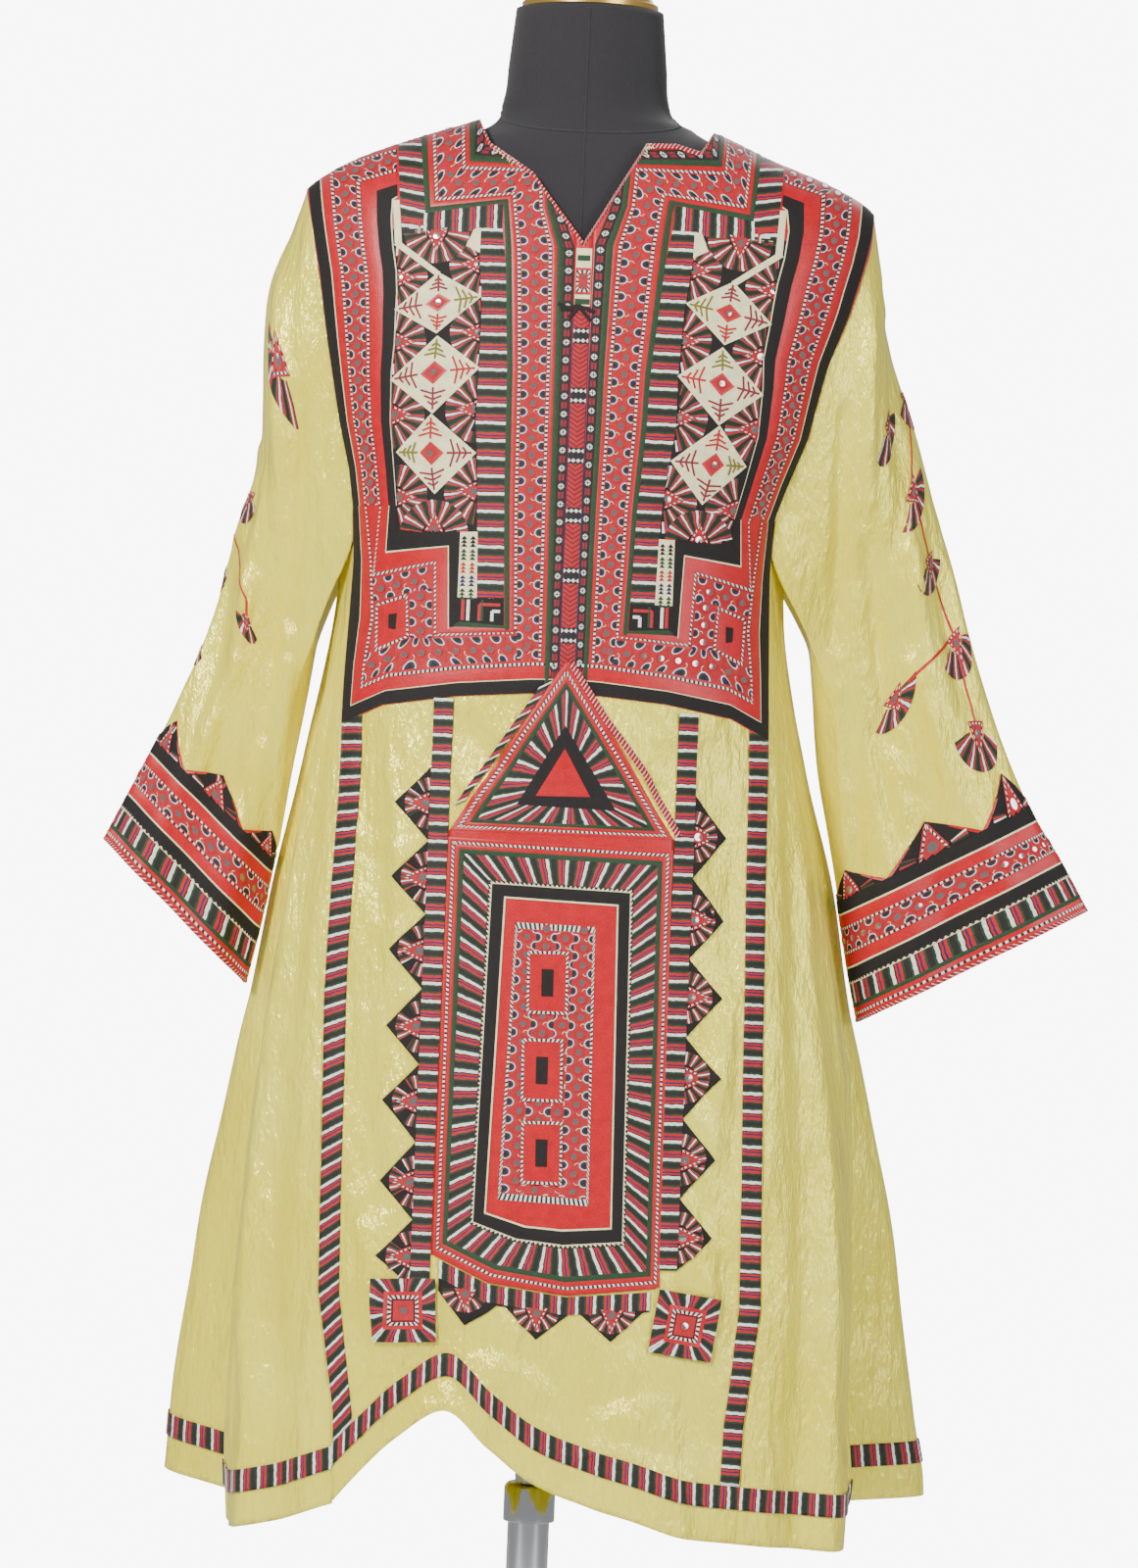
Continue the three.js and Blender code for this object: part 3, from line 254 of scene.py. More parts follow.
def front_relief(x, z):
    under_bib = 0.3 + 0.7 * ease(BIB_BOTTOM + 5 - z, -20, 15)
    relief = shallow(creased(FRONT_CREASES, x, z) + uneven(x, z, 0.8) * under_bib)
    return relief * ease(half_at(x, z) - abs(x), 0.5, 12)


def back_relief(x, z):
    relief = shallow(creased(BACK_CREASES, x, z) + uneven(x + 40, z, 1.0))
    return relief * ease(half_at(x, z) - abs(x), 0.5, 14)


def on_front(x, z, lift=0.0):
    x, z = np.broadcast_arrays(np.asarray(x, float), np.asarray(z, float))
    p = np.stack([x, body_y(x, z, FRONT) + wave_y(x, z, FRONT), z], -1)
    n = body_normal(np.stack([x, body_y(x, z, FRONT), z], -1))
    return p + n * (front_relief(x, z) + lift)[..., None]


def spaced(line, shares, short):
    run = np.concatenate([[0], np.cumsum(np.linalg.norm(np.diff(line, axis=0), axis=1))])
    at = shares * (run[-1] - short)
    return np.stack([np.interp(at, run, line[:, k]) for k in range(3)], -1)


# The line of a panel's column from the bib's lower edge up to its neck or shoulder line
def upper_line(x_at, neck_z, face, steps=260):
    top = neck_z
    if top is None:
        z = np.arange(1326, 1200, -0.05)
        x = x_at(z)
        half = np.where(x < 0, smooth(BODY, 1, z), smooth(BODY, 2, z))
        top = z[np.argmax(abs(x) < half)]
    t = 1 - np.arange(steps + 1) / steps
    z = top - (top - BIB_BOTTOM) * t * t
    x = x_at(z)
    line = np.stack([x, body_y(x, z, face), z], -1)
    if neck_z is None:
        line = np.vstack([line, [line[-1, 0], 0, line[-1, 2]]])
    return line


def column_x(edges, low, top):
    side = 1 if low < CENTRE_X else 2
    low_share = (low - CENTRE_X) / (straight(edges, side, LOW_Z) - CENTRE_X)
    top_share = (top - CENTRE_X) / (straight(edges, side, TOP_Z) - CENTRE_X)

    def at(z):
        t = np.clip((z - BIB_BOTTOM) / (TOP_Z - BIB_BOTTOM), 0, 1)
        return CENTRE_X + (low_share + (top_share - low_share) * t) * (straight(edges, side, z) - CENTRE_X)

    return at


def column_stops(columns, step):
    stops = []
    for i in range(len(columns) - 1):
        wide = abs(columns[i + 1, 1] - columns[i, 1])
        stops += list(np.linspace(i, i + 1, max(1, round(wide / step)), endpoint=False))
    return np.array(stops + [len(columns) - 1])


def panel_grid(columns, edges, neck, hem_line, face, step, rows_low, rows_top):
    stops = column_stops(columns, step)
    index = np.arange(len(columns))
    grid = []
    for c in stops:
        low, top = np.interp(c, index, columns[:, 0]), np.interp(c, index, columns[:, 1])
        x_at = column_x(edges, low, top)
        on_neck = NECK_LEFT <= top <= NECK_RIGHT
        neck_z = float(np.interp(top, neck[:, 0], neck[:, 1])) if on_neck else None
        hem = float(smooth(hem_line, 1, x_at(HEM_LEVEL)))
        z = np.concatenate([np.linspace(hem, hem + HEM_TAPE, 4)[:-1],
                            np.linspace(hem + HEM_TAPE, BIB_BOTTOM, rows_low)[:-1]])
        x = x_at(z)
        lower = np.stack([x, body_y(x, z, face) + wave_y(x, z, face), z], -1)
        upper = spaced(upper_line(x_at, neck_z, face), np.linspace(0, 1, rows_top), 0 if on_neck else 0.2)
        grid.append(np.vstack([lower, upper]))
    return np.array(grid).transpose(1, 0, 2)


def ring_point(side, z, angle):
    half = smooth(BODY, 1 if side < 0 else 2, z)
    depth = np.where(angle > 0, smooth(BODY, 3, z), smooth(BODY, 4, z))
    power = smooth(BODY, 5, z)
    x = side * half * abs(np.cos(angle)) ** (2 / power)
    y = -np.sign(angle) * depth * abs(np.sin(angle)) ** (2 / power)
    return np.stack([x, y, z + 0 * x], -1)


def corner_angle(rows, side, z):
    x = abs(straight(rows, 1 if side < 0 else 2, z))
    return np.arccos((x / smooth(BODY, 1 if side < 0 else 2, z)) ** (smooth(BODY, 5, z) / 2))


# A gore's row of points at height z, by shares of its width
def gore_row(side, shares, z):
    angles = np.linspace(corner_angle(FRONT_EDGE, side, z), -corner_angle(BACK_EDGE, side, z), 260)
    line = ring_point(side, z, angles)
    length = np.linalg.norm(np.diff(line, axis=0), axis=1).sum()
    trim = 0.5 / length
    p = spaced(line, trim + (1 - 2 * trim) * shares, 0)
    pleats = LEFT_PLEATS if side < 0 else RIGHT_PLEATS
    deep = sum(d * hump(shares - at, w) * np.clip((start - z) / (start - PLEAT_FULL), 0, 1) ** 0.8
               for at, w, d, start in pleats)
    n = body_normal(p) * (1, 1, 0)
    n /= np.linalg.norm(n, axis=-1, keepdims=True)
    return p - n * deep[:, None]


def gore_grid(side, columns, rows, low=None, high=None):
    shares = np.linspace(0, 1, columns)
    hem = smooth(LEFT_HEM if side < 0 else RIGHT_HEM, 1, shares)
    top = UNDERARM - 0.7
    # Level rows first, then each column picks its own heights
    levels = np.linspace(300, top, 230)
    stack = np.array([gore_row(side, shares, z) for z in levels])
    grid = np.zeros((rows, columns, 3))
    for j in range(columns):
        start = hem[j] if low is None else hem[j] + low
        end = top if high is None else hem[j] + high
        z = np.linspace(start, end, rows)
        for k in range(3):
            grid[:, j, k] = np.interp(z, levels, stack[:, j, k])
    return grid


# A gore's cloth, uneven but calm at its sides and under the arm
def gore_cloth(side, rows, low=None, high=None, lift=0.0):
    grid = gore_grid(side, GORE_COLUMNS, rows, low, high)
    n = grid_normals(grid)
    if n[rows // 2, 3, 1] > 0:
        n = -n
    share = np.linspace(0, 1, GORE_COLUMNS)[None, :]
    fade = np.sin(np.pi * share) ** 0.5 * ease(UNDERARM - grid[..., 2], 0, 60)
    ripple = uneven(grid[..., 0] * 0 + share * 420, grid[..., 2], 1.2)
    return grid + n * (fade * ripple + lift)[..., None]


def grid_normals(grid, closed=False):
    if closed:
        across = np.roll(grid, -1, axis=1) - np.roll(grid, 1, axis=1)
    else:
        across = np.gradient(grid, axis=1)
    n = np.cross(across, np.gradient(grid, axis=0))
    return n / np.maximum(np.linalg.norm(n, axis=-1, keepdims=True), 1e-9)


# The armhole loop as a function of the angle round the sleeve: top, front, under the arm, back
SHARES = np.array([0, 0.12, 0.24, 0.36, 0.48, 0.59, 0.69, 0.78, 0.86, 0.92, 0.965, 1])


def armhole(side, steps):
    edge = 1 if side < 0 else 2

    def half_loop(edges, face, angle):
        def x_at(z):
            return straight(edges, edge, z)

        line = upper_line(x_at, None, face)
        marks = spaced(line, SHARES, 0.2)
        kept = SHARES[marks[:, 2] > UNDERARM + 8][::-1]
        count = len(kept)
        knots = list(range(count))
        at = np.linspace(0, count + 3, 400)
        on_edge = spaced(line, np.interp(at, knots, kept), 0.2) + (side * 0.4, 0, 0)
        below = [ring_point(side, UNDERARM, np.array(angle * s)) + (side * 1.0, 0, 0)
                 for s in (1, 0.66, 0.33, 1e-6)]
        anchors = np.array([on_edge[np.searchsorted(at, count - 1)]] + below)
        under = np.stack([np.interp(at, count - 1 + np.arange(5), anchors[:, k]) for k in range(3)], -1)
        points = np.where((at <= count - 1)[:, None], on_edge, under)
        return at / (count + 3), points

    t_front, front = half_loop(FRONT_EDGE, FRONT, corner_angle(FRONT_EDGE, side, UNDERARM))
    t_back, back = half_loop(BACK_EDGE, BACK, -corner_angle(BACK_EDGE, side, UNDERARM))
    share = np.arange(steps) / steps
    first = share <= 0.5
    loop = np.zeros((steps, 3))
    for k in range(3):
        loop[first, k] = np.interp(share[first] * 2, t_front, front[:, k])
        loop[~first, k] = np.interp(2 - share[~first] * 2, t_back, back[:, k])
    loop[0, 1] = 0
    return loop


def sleeve_flat(side, s, angle):
    rows = LEFT_SLEEVE if side < 0 else RIGHT_SLEEVE
    out_x, out_z, in_x, in_z, deep, y = [smooth(rows, k, s) for k in range(1, 7)]
    along = 0.5 + 0.5 * np.cos(angle)
    fold = 4 * s * np.sin(angle) * np.cos(6 * angle)
    shape = np.sign(np.sin(angle)) * abs(np.sin(angle)) ** 0.8
    return np.stack([in_x + (out_x - in_x) * along, y - deep * shape - fold,
                     in_z + (out_z - in_z) * along], -1)


def sleeve_normals(tube):
    n = grid_normals(tube, True)
    return -n if n[60, SLEEVE_STEPS // 4, 1] > 0 else n


SLEEVE_STEPS = 192
loops = {side: armhole(side, SLEEVE_STEPS) for side in (-1, 1)}


# Points of a sleeve at shares s of its length and angles round it
def sleeve_points(side, s, angle):
    s, angle = np.broadcast_arrays(np.asarray(s, float), np.asarray(angle, float))
    at = (angle / (2 * np.pi)) % 1 * SLEEVE_STEPS
    loop = np.vstack([loops[side], loops[side][:1]])
    start = np.stack([np.interp(at, np.arange(SLEEVE_STEPS + 1), loop[:, k]) for k in range(3)], -1)
    drift = start - sleeve_flat(side, 0 * s, angle)
    return sleeve_flat(side, s, angle) + drift * (1 - ease(s, 0, 0.55))[..., None]


LEFT_CREASES = [
    (-232, 1180, -226, 1000, 7, -3.4), (-214, 1230, -206, 1030, 6, 3.0), (-196, 1120, -196, 960, 6, -3.0),
    (-222, 1060, -232, 920, 6, 3.0), (-208, 1000, -214, 880, 6, -2.8), (-240, 1010, -256, 900, 6, -2.6),
    (-236, 930, -262, 846, 6, 2.6), (-218, 900, -234, 800, 6, -2.4), (-196, 930, -204, 800, 5, 2.4),
]
RIGHT_CREASES = [
    (226, 1190, 240, 1040, 7, -3.4), (206, 1230, 212, 1060, 6, 3.0), (192, 1120, 194, 960, 6, -3.0),
    (236, 1080, 262, 940, 6, 3.0), (214, 1030, 236, 890, 6, -3.0), (262, 1040, 286, 930, 6, -2.6),
    (250, 950, 286, 850, 6, 2.6), (224, 900, 250, 800, 6, -2.6), (196, 930, 212, 790, 5, 2.4),
]


# Meshes
def finish_mesh(name, points, faces, uv=None, material_index=None):
    mesh = bpy.data.meshes.new(name)
    mesh.from_pydata((np.asarray(points) * MM).tolist(), [], faces)
    mesh.polygons.foreach_set("use_smooth", np.ones(len(mesh.polygons), bool))
    if uv is not None:
        layer = mesh.uv_layers.new(name="run")
        loops_at = np.zeros(len(mesh.loops), np.int32)
        mesh.loops.foreach_get("vertex_index", loops_at)
        layer.data.foreach_set("uv", np.asarray(uv, np.float32)[loops_at].ravel())
    if material_index is not None:
        mesh.polygons.foreach_set("material_index", np.asarray(material_index, np.int32))
    mesh.update()
    obj = bpy.data.objects.new(name, mesh)
    bpy.context.scene.collection.objects.link(obj)
    return obj


def grid_faces(rows, columns, closed, flip):
    i, j = np.meshgrid(np.arange(rows - 1), np.arange(columns if closed else columns - 1), indexing="ij")
    a, b = i * columns + j, i * columns + (j + 1) % columns
    c, d = b + columns, a + columns
    order = (a, d, c, b) if flip else (a, b, c, d)
    return np.stack([k.ravel() for k in order], -1).tolist()


def flipped(grid, outward, closed=False):
    n = grid_normals(grid, closed)
    if closed:
        return float(((grid - grid.mean(axis=1, keepdims=True)) * n).sum()) < 0
    i, j = grid.shape[0] // 2, grid.shape[1] // 2
    return float(np.dot(n[i, j], outward)) < 0


def run_uv(grid):
    u = np.concatenate([np.zeros((grid.shape[0], 1)),
                        np.cumsum(np.linalg.norm(np.diff(grid, axis=1), axis=-1), axis=1)], axis=1)
    v = np.concatenate([np.zeros((1, grid.shape[1])),
                        np.cumsum(np.linalg.norm(np.diff(grid, axis=0), axis=-1), axis=0)], axis=0)
    return np.stack([u, v], -1).reshape(-1, 2)


def thicken(obj, thickness):
    solid = obj.modifiers.new("cloth", "SOLIDIFY")
    solid.thickness, solid.offset = thickness * MM, -1


def grid_object(name, grid, outward, closed=False, thickness=CLOTH):
    faces = grid_faces(grid.shape[0], grid.shape[1], closed, flipped(grid, outward, closed))
    obj = finish_mesh(name, grid.reshape(-1, 3), faces, run_uv(grid))
    thicken(obj, thickness)
    return obj


def area_of(grid, closed=False):
    g = np.concatenate([grid, grid[:, :1]], axis=1) if closed else grid
    a, b = g[1:, 1:] - g[:-1, :-1], g[1:, :-1] - g[:-1, 1:]
    return float(np.linalg.norm(np.cross(a, b), axis=-1).sum() / 2) * MM * MM


# A piece's flat cut: its longest rows and columns, and its area
def cut(grid, closed=False):
    g = np.concatenate([grid, grid[:, :1]], axis=1) if closed else grid
    width = float(np.linalg.norm(np.diff(g, axis=1), axis=-1).sum(axis=1).max()) * MM
    length = float(np.linalg.norm(np.diff(g, axis=0), axis=-1).sum(axis=0).max()) * MM
    area = min(area_of(grid, closed), width * length)


# Materials
def linear(r, g, b):
    shares = [c / 255 for c in (r, g, b)]
    return tuple(c / 12.92 if c <= 0.04 else ((c + 0.055) / 1.055) ** 2.4 for c in shares) + (1.0,)


def material(name, color, roughness, **sockets):
    made = bpy.data.materials.new(name)
    made.use_nodes = True
    shader = made.node_tree.nodes["Principled BSDF"]
    shader.inputs["Base Color"].default_value = color
    shader.inputs["Roughness"].default_value = roughness
    for key, value in sockets.items():
        shader.inputs[key.replace("_", " ")].default_value = value
    return made, made.node_tree, shader


def node(tree, kind, **values):
    made = tree.nodes.new(kind)
    for key, value in values.items():
        setattr(made, key, value)
    return made


def noise_texture(tree, vector, scale, detail, roughness=0.5):
    made = node(tree, "ShaderNodeTexNoise")
    for key, value in (("Scale", scale), ("Detail", detail), ("Roughness", roughness)):
        made.inputs[key].default_value = value
    tree.links.new(vector, made.inputs["Vector"])
    return made.outputs["Fac"]


def add_bump(tree, shader, height, strength, distance):
    bump = node(tree, "ShaderNodeBump")
    bump.inputs["Strength"].default_value = strength
    bump.inputs["Distance"].default_value = distance
    tree.links.new(height, bump.inputs["Height"])
    tree.links.new(bump.outputs["Normal"], shader.inputs["Normal"])


SATIN_TONE = (0.96, 0.84, 0.11, 1)


def satin_material():
    made, tree, shader = material("satin", SATIN_TONE, 0.3, Metallic=0.2, Sheen_Weight=0.05,
                                  Sheen_Roughness=0.4, Anisotropic=0.3, Specular_IOR_Level=0.7)
    coord = node(tree, "ShaderNodeTexCoord")
    cloud = noise_texture(tree, coord.outputs["Object"], 9, 4)
    ramp = node(tree, "ShaderNodeValToRGB")
    ramp.color_ramp.elements[0].position, ramp.color_ramp.elements[1].position = 0.3, 0.7
    ramp.color_ramp.elements[0].color = (0.92, 0.79, 0.04, 1)
    ramp.color_ramp.elements[1].color = (1.0, 0.91, 0.1, 1)
    tree.links.new(cloud, ramp.inputs["Fac"])
    # Faint darker lines, 17 mm apart
    sides = node(tree, "ShaderNodeSeparateXYZ")
    tree.links.new(coord.outputs["UV"], sides.inputs["Vector"])
    wrap = node(tree, "ShaderNodeMath", operation="PINGPONG")
    wrap.inputs[1].default_value = 8.5
    tree.links.new(sides.outputs["X"], wrap.inputs[0])
    line = node(tree, "ShaderNodeMath", operation="LESS_THAN")
    line.inputs[1].default_value = 0.35
    tree.links.new(wrap.outputs["Value"], line.inputs[0])
    faint = node(tree, "ShaderNodeMath", operation="MULTIPLY")
    faint.inputs[1].default_value = 0.16
    tree.links.new(line.outputs["Value"], faint.inputs[0])
    faint_lines = node(tree, "ShaderNodeMixRGB")
    faint_lines.inputs["Color2"].default_value = (0.62, 0.5, 0.03, 1)
    tree.links.new(faint.outputs["Value"], faint_lines.inputs["Fac"])
    tree.links.new(ramp.outputs["Color"], faint_lines.inputs["Color1"])
    tree.links.new(faint_lines.outputs["Color"], shader.inputs["Base Color"])
    stretch = node(tree, "ShaderNodeMapping")
    stretch.inputs["Scale"].default_value = (1, 1, 0.35)
    tree.links.new(coord.outputs["Object"], stretch.inputs["Vector"])
    fine = noise_texture(tree, stretch.outputs["Vector"], 24, 6, 0.6)
    add_bump(tree, shader, fine, 0.9, 0.016)
    return made


def plain_material(name, color, roughness, grain=0.0, scale=900, **sockets):
    made, tree, shader = material(name, color, roughness, **sockets)
    coord = node(tree, "ShaderNodeTexCoord")
    noise = noise_texture(tree, coord.outputs["Object"], scale, 3)
    mix = node(tree, "ShaderNodeMixRGB", blend_type="MULTIPLY")
    mix.inputs["Fac"].default_value = 1
    ramp = node(tree, "ShaderNodeValToRGB")
    low = 1 - grain
    ramp.color_ramp.elements[0].color = (low, low, low, 1)
    tree.links.new(noise, ramp.inputs["Fac"])
    mix.inputs["Color1"].default_value = color
    tree.links.new(ramp.outputs["Color"], mix.inputs["Color2"])
    tree.links.new(mix.outputs["Color"], shader.inputs["Base Color"])
    add_bump(tree, shader, noise, grain, 0.0005)
    return made


SATIN = satin_material()
FORM_CLOTH = plain_material("form_cloth", linear(44, 42, 46), 0.95, 0.25, 1200, Sheen_Weight=0.15)
BRASS = plain_material("brass", linear(214, 176, 92), 0.3, 0.04, 60, Metallic=0.9)
CHROME = plain_material("chrome", linear(205, 208, 212), 0.12, 0.03, 40, Metallic=1.0)
BASE_METAL = plain_material("base_metal", linear(196, 198, 202), 0.35, 0.05, 60, Metallic=0.7)


def dress_piece(obj, finish, body="dressed_form"):
    obj.data.materials.append(finish)
    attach(obj, body)
    return obj


# A cloth of the dress that takes a solid's place
def cloth_piece(name, grid, outward, finish, node_name, closed=False, thickness=CLOTH):
    obj = dress_piece(grid_object(name, grid, outward, closed, thickness), finish)
    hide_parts(node_name)
    return obj


# A fine raised line along a path, such as a seam
def welt(name, path, finish, radius=0.8):
    run = np.gradient(path, axis=0)
    run /= np.linalg.norm(run, axis=-1, keepdims=True)
    side = np.cross(run, np.stack([path[:, 0], path[:, 1], 0 * path[:, 2]], -1))
    side /= np.linalg.norm(side, axis=-1, keepdims=True)
    up = np.cross(side, run)
    turn = np.arange(6) / 6 * 2 * np.pi
    away = side[:, None] * np.cos(turn)[None, :, None] + up[:, None] * np.sin(turn)[None, :, None]
    grid = path[:, None] + radius * away
    obj = finish_mesh(name, grid.reshape(-1, 3), grid_faces(len(path), 6, True, False))
    return dress_piece(obj, finish)


# Satin panels
front_grid = panel_grid(FRONT_COLUMNS, FRONT_EDGE, FRONT_NECK, FRONT_HEM, FRONT, FRONT_STEP, BIB_ROW - 2, 62)
flat_front = front_grid.copy()
x, z = front_grid[..., 0], front_grid[..., 2]
flat_front[..., 1] -= wave_y(x, z, FRONT)
front_out = body_normal(flat_front)
bare_front = front_grid
front_grid = front_grid + front_out * front_relief(x, z)[..., None]
front_panel = cloth_piece("front_satin", front_grid, (0, -1, 0), SATIN, "front_panel")

back_grid = panel_grid(BACK_COLUMNS, BACK_EDGE, BACK_NECK, BACK_HEM, BACK, 4.2, 80, 46)
x, z = back_grid[..., 0], back_grid[..., 2]
back_grid = back_grid + body_normal(back_grid) * back_relief(x, z)[..., None]
back_panel = cloth_piece("back_satin", back_grid, (0, 1, 0), SATIN, "back_panel")
for panel, grid, inward in (("front", front_grid, 1), ("back", back_grid, -1)):
    for edge, name in ((0, "left"), (-1, "right")):
        path = grid[grid[:, edge, 2] < UNDERARM - 4, edge] + (0, 1.1 * inward, 0)
        welt("seam_" + panel + "_" + name, path, SATIN, 1.1)
cut(front_grid)
cut(back_grid)

sleeves, sleeve_cloths = {}, {}
for side, name in ((-1, "left"), (1, "right")):
    grid = gore_cloth(side, 110)
    obj = cloth_piece("gore_satin_" + name, grid, (side * 0.5, -1, 0), SATIN, "side_gore_" + name)
    cut(grid)

    s = np.linspace(0, 1, 120)[:, None]
    angle = (np.arange(SLEEVE_STEPS) / SLEEVE_STEPS * 2 * np.pi)[None, :]
    tube = sleeve_points(side, s, angle)
    n = sleeve_normals(tube)
    creases = LEFT_CREASES if side < 0 else RIGHT_CREASES
    shown = creased(creases, tube[..., 0], tube[..., 2])
    hidden = creased(creases, tube[..., 0] + 7, tube[..., 2] - 24)
    turn = ease(n[..., 1], -0.4, 0.4)
    keep = ease(s, 0.02, 0.12) * (1 - ease(s, 0.74, 0.8) * 0.8)
    out = (shown * (1 - turn) + hidden * turn + uneven(tube[..., 0] * 1.6, tube[..., 2], 0.9)) * keep
    tube = tube + n * out[..., None]
    sleeves[side] = tube
    sleeve_cloths[side] = cloth_piece("sleeve_satin_" + name, tube, (0, -1, 0), SATIN,
                                      "sleeve_" + name, closed=True)


# Values in a material's node graph, with the usual operators
class Value:
    def __init__(self, tree, socket):
        self.tree, self.socket = tree, socket

    def math(self, operation, *others):
        made = node(self.tree, "ShaderNodeMath", operation=operation)
        for k, other in enumerate((self,) + others):
            if isinstance(other, Value):
                self.tree.links.new(other.socket, made.inputs[k])
            else:
                made.inputs[k].default_value = other
        return Value(self.tree, made.outputs[0])

    def __add__(self, other):
        return self.math("ADD", other)

    def __sub__(self, other):
        return self.math("SUBTRACT", other)

    def __mul__(self, other):
        return self.math("MULTIPLY", other)

    def below(self, limit):
        return self.math("LESS_THAN", limit)

    def above(self, limit):
        return self.math("GREATER_THAN", limit)

    def size(self):
        return self.math("ABSOLUTE")

    # Distance from the middle of each repeat
    def repeat(self, period):
        return ((self * (1 / period)).math("FRACT") - 0.5) * period

    # Where this run is at within a repeat, from 0
    def run(self, period):
        return (self * (1 / period)).math("FRACT") * period


def far(a, b):
    return (a * a + b * b).math("SQRT")


def over(tree, under, color, mask):
    mix = node(tree, "ShaderNodeMixRGB")
    tree.links.new(mask.socket, mix.inputs["Fac"])
    for key, value in (("Color1", under), ("Color2", color)):
        if isinstance(value, tuple):
            mix.inputs[key].default_value = value
        else:
            tree.links.new(value, mix.inputs[key])
    return mix.outputs["Color"]


def wobble(tree, u, v, scale, amount):
    spot = node(tree, "ShaderNodeCombineXYZ")
    tree.links.new(u.socket, spot.inputs[0])
    tree.links.new(v.socket, spot.inputs[1])
    return (Value(tree, noise_texture(tree, spot.outputs[0], scale, 2)) - 0.5) * amount


RED = (0.54, 0.0, 0.006, 1)
ROSE = (0.5, 0.006, 0.014, 1)
DARK_RED = (0.26, 0.004, 0.014, 1)
BLACK = (0.006, 0.004, 0.0035, 1)
GREEN = (0.006, 0.045, 0.01, 1)
NAVY = (0.02, 0.006, 0.09, 1)
CREAM = (0.95, 0.88, 0.5, 1)
WHITE = (0.95, 0.93, 0.85, 1)
OLIVE = (0.2, 0.17, 0.01, 1)
MAROON = (0.24, 0.01, 0.03, 1)


# Cloth of stitches: the pattern is drawn in millimetres along and across each strip
def stitched(name, pattern, roughness=0.62, relief=0.5, coarse=1.0, sheen=0.25):
    made, tree, shader = material(name, RED, roughness, Sheen_Weight=sheen, Sheen_Roughness=0.4)
    spot = node(tree, "ShaderNodeUVMap", uv_map="run")
    parts = node(tree, "ShaderNodeSeparateXYZ")
    tree.links.new(spot.outputs["UV"], parts.inputs["Vector"])
    u, v = Value(tree, parts.outputs[0]), Value(tree, parts.outputs[1])
    color = pattern(tree, u, v)
    grain = (wobble(tree, u, v, 1.7 * coarse, 0.7) + wobble(tree, u, v, 0.12, 0.5)) + 0.93
    shade = node(tree, "ShaderNodeCombineXYZ")
    for k in range(3):
        tree.links.new(grain.socket, shade.inputs[k])
    mix = node(tree, "ShaderNodeMixRGB", blend_type="MULTIPLY")
    mix.inputs["Fac"].default_value = 1
    if isinstance(color, tuple):
        mix.inputs["Color1"].default_value = color
    else:
        tree.links.new(color, mix.inputs["Color1"])
    tree.links.new(shade.outputs[0], mix.inputs["Color2"])
    tree.links.new(mix.outputs["Color"], shader.inputs["Base Color"])
    rows = (u * 5.6).math("SINE") * (v * 0.9 + 1.1).math("SINE") * 0.25
    add_bump(tree, shader, (rows + wobble(tree, u, v, 1.1 * coarse, 1.6)).socket, relief, 0.0006)
    return made


def plain(color):
    return lambda tree, u, v: color


def bars(period, bands, wave=1.6):
    def pattern(tree, u, v):
        at = (u + wobble(tree, u * 0.6, v, 0.22, wave)).run(period)
        color = BLACK
        for start, end, tone in bands:
            color = over(tree, color, tone, at.above(start * period) * at.below(end * period))
        return color
    return pattern


STRIPE_PITCH = 12.4
STRIPE_BANDS = [
    (0.0, 0.17, WHITE), (0.17, 0.27, GREEN), (0.52, 0.62, GREEN), (0.62, 0.76, RED), (0.76, 0.84, NAVY),
    (0.84, 0.93, RED),
]
FAN_BANDS = [
    (0.0, 0.16, WHITE), (0.16, 0.24, NAVY), (0.24, 0.38, RED), (0.38, 0.48, GREEN), (0.72, 0.84, GREEN),
    (0.84, 0.93, RED),
]


def dots(tree, u, v):
    at = u.repeat(3.2)
    white = at.size().below(0.8) * v.size().below(0.85)
    dark = v.size().below(0.85)
    return over(tree, over(tree, RED, BLACK, dark), WHITE, white)


# Small mirrors in red lozenges, with half-round eyes between them
MIRROR_PITCH = 12.1


def mirror_field(tree, u, v):
    at = (u + wobble(tree, u, v, 0.15, 0.7)).repeat(MIRROR_PITCH)
    side = (u + MIRROR_PITCH / 2).repeat(MIRROR_PITCH)
    odd = (u * (1 / (2 * MIRROR_PITCH))).math("FRACT").above(0.5)
    lozenge = at.size() * 1.0 + v.size() * 0.8
    color = over(tree, ROSE, DARK_RED, lozenge.above(4.7) * lozenge.below(5.1))
    color = over(tree, color, RED, lozenge.below(4.7))
    eye = far(side, v.size() - 6.6)
    color = over(tree, color, WHITE, eye.below(3.3) * eye.above(2.7))
    color = over(tree, color, NAVY, eye.below(2.7))
    color = over(tree, color, GREEN, eye.below(2.2) * odd)
    color = over(tree, color, BLACK, eye.below(1.5))
    arc = far(side, v - 2.2)
    return over(tree, color, CREAM, arc.below(1.7) * arc.above(1.35) * odd)


def flowers(tree, u, v):
    at = u.repeat(12.6)
    far_at = (u + 6.3).repeat(12.6)
    red = at.size().below(2.3) * v.size().below(1.9) * v.size().above(0.25)
    lozenge = far_at.size() + v.size()
    white = lozenge.below(2.6) * lozenge.above(0.9) * far_at.size().above(0.3) * v.size().above(0.3)
    return over(tree, over(tree, BLACK, DARK_RED, red), WHITE, white)


def chevrons(tree, u, v):
    step = u + v.size() * 0.7
    color = over(tree, DARK_RED, RED, step.repeat(3.4).size().below(0.9))
    color = over(tree, color, BLACK, step.repeat(3.4).size().above(1.5))
    near = u.repeat(42.0).size()
    color = over(tree, color, BLACK, near.below(5.6))
    crown = (near - 3.4).size() + (v.repeat(3.4)).size() * 0.9
    color = over(tree, color, WHITE, crown.below(1.5) * near.below(5.6))
    return over(tree, color, NAVY, v.size().above(5.2))


